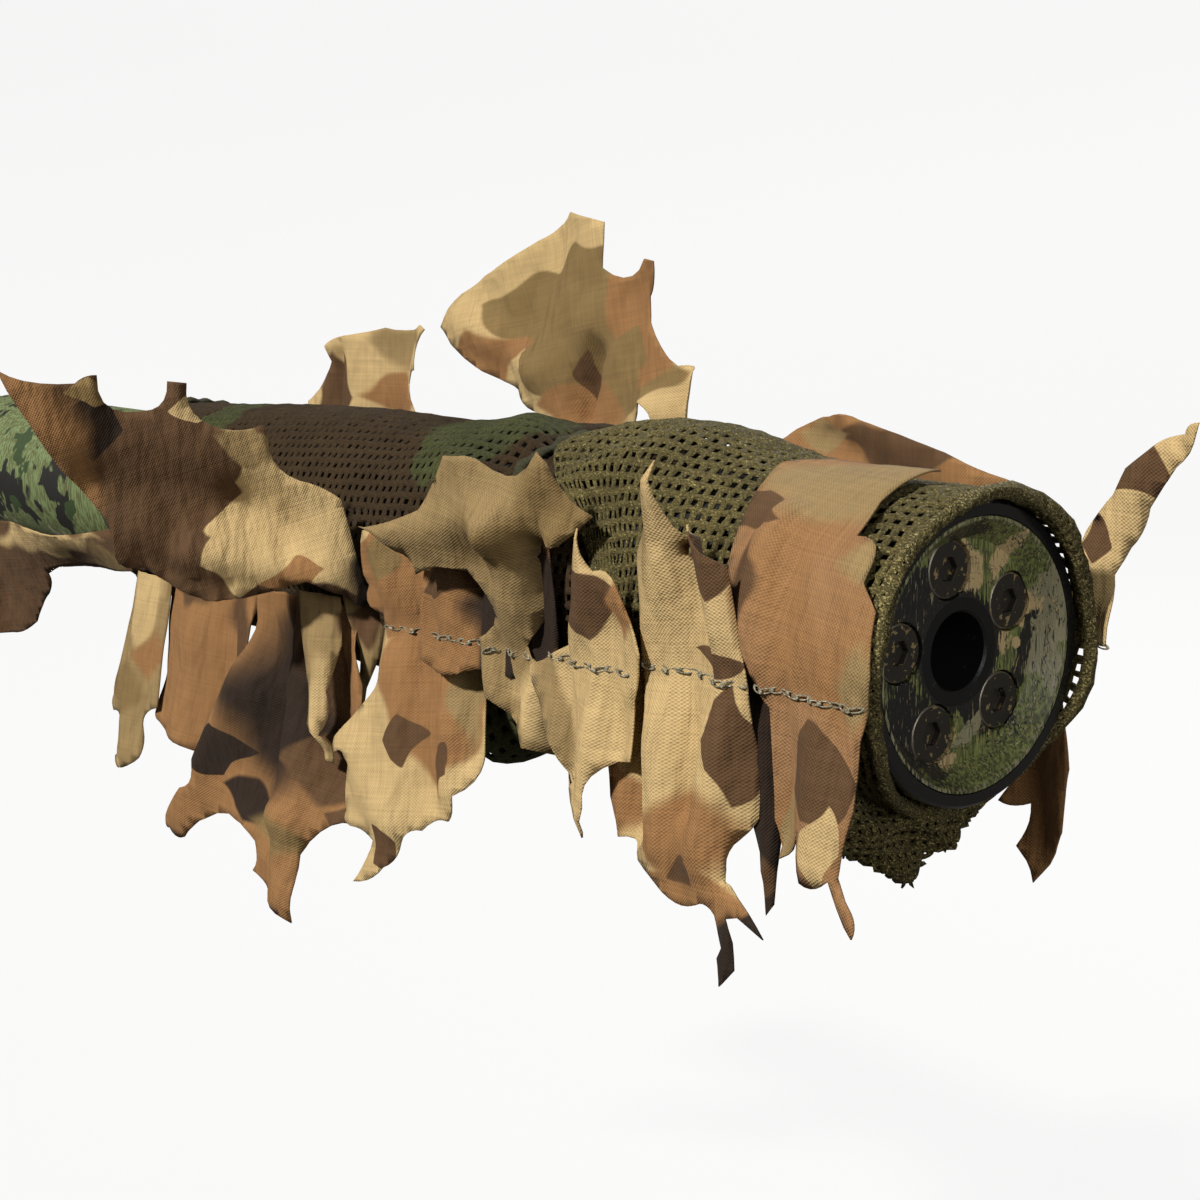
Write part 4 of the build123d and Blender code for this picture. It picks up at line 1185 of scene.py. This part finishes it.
leaf("far_blade_leaf_cloth", ["far_blade_leaf"],
     [(4, 0), (4.5, 12), (2.5, 19, 0.4), (-2, 25.5), (-4, 30), (-8, 33.5, 0.6), (-13.5, 36.5, 0.6),
      (-16, 38.5, 0.8), (-12, 31), (-8, 24, 0.5), (-5, 17), (-3, 12), (-4, 0)],
     hanging_place((3.4, 28.6, -2), 180, ("hang", 4, 0.25), ("hang", 2, 0)),
     printed_cotton("cotton_far_blade", TAN,
                    [(BROWN, -4, 30, 6, 9, 35, 0), (BROWN, 1, 17, 3, 4, 0, 0)]),
     folds=[(0, 2, -13, 34, 1.4, 2.6)], seam=("far", -4, 4), pleats=0.3)

# %% [markdown]
# ### Torn flap of mesh
#
# Under the end plate a corner of the front mesh has come away from its hem and hangs in a
# thick, felted flap. It is cut from the same flat net, trimmed to an outline and folded in
# three, with each layer rolled and roughened on its own.

# %% Mesh flap
FLAP_EDGE = [(-20, 9), (-12, 12), (14, 12), (18, 9), (15, 5), (10, 1), (6, -3.5), (2, -5),
             (1.5, -8), (-2, -9.8), (-8, -6), (-12, -4.5), (-15, -1.5), (-18.5, 3)]
FLAP_LAYERS = 3
FLAP_THICK = 0.36
FLAP_ROUGH = 0.25         # how far noise moves the net


def outline_area(corners):
    """Area within the closed outline."""
    around_it = zip(corners, corners[1:] + corners[:1])
    return abs(sum(u0 * v1 - u1 * v0 for (u0, v0), (u1, v1) in around_it)) / 2


def inside(u, v, corners):
    """Whether (u, v) lies within the closed outline."""
    within = False
    for (u0, v0), (u1, v1) in zip(corners, corners[1:] + corners[:1]):
        if (v0 > v) != (v1 > v) and u < u0 + (v - v0) / (v1 - v0) * (u1 - u0):
            within = not within
    return within


def add_flap():
    bm = bmesh.new()
    hang = hanging_place((FRONT_EDGE - 7, -8, -28), 66, ("hang", -30, 0), ("hang", 2, 0))
    for layer in range(FLAP_LAYERS):
        net = flat_net(24, 14, 40, 22, FLAP_STRAND)
        bmesh.ops.translate(net, vec=(-21 + 0.8 * layer, -10 + 0.6 * layer, 0), verts=net.verts)
        outside = [face for face in net.faces
                   if not inside(*face.calc_center_median().xy, FLAP_EDGE)]
        bmesh.ops.delete(net, geom=outside, context="FACES")
        for vert in net.verts:
            u, v, height = vert.co
            roll = 1.3 * math.sin(u * 0.55 + v * 0.4) + 0.9 * math.sin(v * 0.9 - u * 0.3)
            vert.co = hang(u, v, height + roll - 1.1 * layer)
            vert.co += uneven(vert.co, 2.6, FLAP_ROUGH)
        bmesh.ops.scale(net, vec=(MM, MM, MM), verts=net.verts)
        part = bpy.data.meshes.new("flap_layer")
        net.to_mesh(part)
        net.free()
        bm.from_mesh(part)
        bpy.data.meshes.remove(part)
    piece = cover_piece("hanging_mesh_flap", bm, fuzzy_yarn, ["front_flap"])
    thicken(piece, FLAP_THICK, -1)
    wide, high = spread(FLAP_EDGE)
    area = outline_area(FLAP_EDGE) * FLAP_LAYERS
    wide * MM
    high * FLAP_LAYERS * MM
    area * MM * MM
    print(f"flap: {FLAP_LAYERS} layers of {wide:.0f} x {high:.0f} mm, area {area:.0f} mm2")
    print("flap faces:", len(piece.data.polygons))


add_flap()

# %% [markdown]
# ## Seam
#
# One line of chain stitch runs the length of each side and holds the leaves to the mesh.
# Here it is laid where it crosses a leaf, and it stops between them. A chain stitch is a
# row of loops, each coming up through the last. Here each loop is a thin ring, drawn out
# along the seam and tipped a little to one side and then the other.

# %% Chain stitches
STITCH_LONG = 2.0
STITCH_WIDE = 0.45
STITCH_THREAD = 0.14      # radius
STITCH_OVERLAP = 0.4


def add_stitch(bm, start, end, outwards, tip):
    """One loop of thread from start to end, lying on the cloth."""
    made = bmesh.ops.create_circle(bm, segments=5, radius=STITCH_THREAD)["verts"]
    bmesh.ops.rotate(bm, verts=made, cent=(0, 0, 0), matrix=Matrix.Rotation(math.pi / 2, 3, "X"))
    bmesh.ops.translate(bm, verts=made, vec=(STITCH_WIDE, 0, 0))
    edges = list({edge for vert in made for edge in vert.link_edges})
    before = set(bm.verts) - set(made)
    bmesh.ops.spin(bm, geom=made + edges, cent=(0, 0, 0), axis=(0, 0, 1), angle=2 * math.pi,
                   steps=10, use_merge=True)
    ring = [vert for vert in bm.verts if vert not in before]
    long = (end - start).length
    along = (end - start).normalized()
    across = outwards.cross(along).normalized()
    drawn_out = Matrix.Diagonal((long * 0.62 / STITCH_WIDE, 1, 1))
    stand = Matrix((along, across, along.cross(across))).transposed()
    turn = stand @ Matrix.Rotation(tip, 3, "X") @ Matrix.Rotation(tip * 0.4, 3, "Z") @ drawn_out
    bmesh.ops.transform(bm, verts=ring, matrix=Matrix.Translation((start + end) / 2)
                        @ turn.to_4x4())


def add_seam(name, runs, stands_for):
    bm = bmesh.new()
    count = 0
    for run in runs:
        last = run[0]
        for point in run[1:]:
            if (point - last).length >= STITCH_LONG - STITCH_OVERLAP:
                outwards = Vector((0, point.y, 0)).normalized()
                add_stitch(bm, last, point, outwards, 0.35 if count % 2 else -0.3)
                count += 1
                last = point
    bmesh.ops.scale(bm, vec=(MM, MM, MM), verts=bm.verts)
    bmesh.ops.recalc_face_normals(bm, faces=bm.faces)
    piece = cover_piece(name, bm, seam_thread, stands_for)
    print(name, "stitches:", count, "faces:", len(piece.data.polygons))


add_seam("near_chain_seam", seam_runs["near"], ["near_seam_thread"])
add_seam("far_chain_seam", seam_runs["far"], ["far_seam_thread"])

# %% [markdown]
# ## Floor and light
#
# The object is held by its tail, so the floor is a little below the lowest leaf tip, and it
# curves up into a low wall all round. It glows faintly and is hidden from diffuse and
# glossy rays, so it stays pale without lighting the cloth from below. The key light comes
# from high at the front and models the folds. A weaker fill from the right lights the end
# plate, and a third light keeps the far side from going black.

# %% Floor
FLOOR_DROP = 0.22
FLOOR_R = 5.5
FLOOR_GLOW = 0.88


def add_floor():
    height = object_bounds()[0].z - FLOOR_DROP
    bm = bmesh.new()
    profile = [Vector((0, 0, height)), Vector((FLOOR_R, 0, height))]
    for step in range(1, 9):
        turn = step / 8 * math.pi / 2
        profile.append(Vector((FLOOR_R + math.sin(turn), 0, height + 1 - math.cos(turn))))
    profile.append(Vector((FLOOR_R + 1, 0, height + 1.5)))
    verts = [bm.verts.new(point) for point in profile]
    edges = [bm.edges.new(pair) for pair in zip(verts, verts[1:])]
    bmesh.ops.spin(bm, geom=verts + edges, cent=(0, 0, 0), axis=(0, 0, 1), angle=2 * math.pi,
                   steps=72, use_merge=True)
    bmesh.ops.remove_doubles(bm, verts=bm.verts, dist=1e-5)
    bmesh.ops.recalc_face_normals(bm, faces=bm.faces)
    bmesh.ops.reverse_faces(bm, faces=bm.faces)
    mesh = bpy.data.meshes.new("studio_floor")
    bm.to_mesh(mesh)
    bm.free()
    for face in mesh.polygons:
        face.use_smooth = True
    floor = bpy.data.objects.new("studio_floor", mesh)
    scene.collection.objects.link(floor)
    pale = Finish("pale_floor", roughness=0.9, emission_color=ink(1, 1, 1),
                  emission_strength=FLOOR_GLOW)
    mesh.materials.append(pale.done(ink(0.03, 0.03, 0.03)))
    floor.visible_diffuse = False
    floor.visible_glossy = False
    print("floor at", round(height, 4))


add_floor()


# %% Lights
def add_light(name, kind, place, size, power, colour):
    data = bpy.data.lights.new(name, kind)
    data.energy = power
    data.color = colour
    if kind == "SUN":
        data.angle = size
    else:
        data.size = size
    light = bpy.data.objects.new(name, data)
    light.location = place
    light.rotation_euler = (MIDDLE - Vector(place)).to_track_quat("-Z", "Y").to_euler()
    scene.collection.objects.link(light)


MIDDLE = Vector((-0.1, 0, 0))
add_light("key", "SUN", (-0.08, -1.0, 0.85), math.radians(5), 4.8, (1, 0.97, 0.93))
add_light("fill", "AREA", (1.1, -0.35, 0.35), 0.6, 5.0, (1, 0.985, 0.96))
add_light("back", "AREA", (-0.7, 1.3, 0.9), 1.0, 14.0, (1, 0.985, 0.96))
scene.world = bpy.data.worlds.new("studio")
scene.world.use_nodes = True
scene.world.node_tree.nodes["Background"].inputs["Color"].default_value = (1, 0.95, 0.86, 1)
scene.world.node_tree.nodes["Background"].inputs["Strength"].default_value = 0.10
scene.view_settings.view_transform = "Standard"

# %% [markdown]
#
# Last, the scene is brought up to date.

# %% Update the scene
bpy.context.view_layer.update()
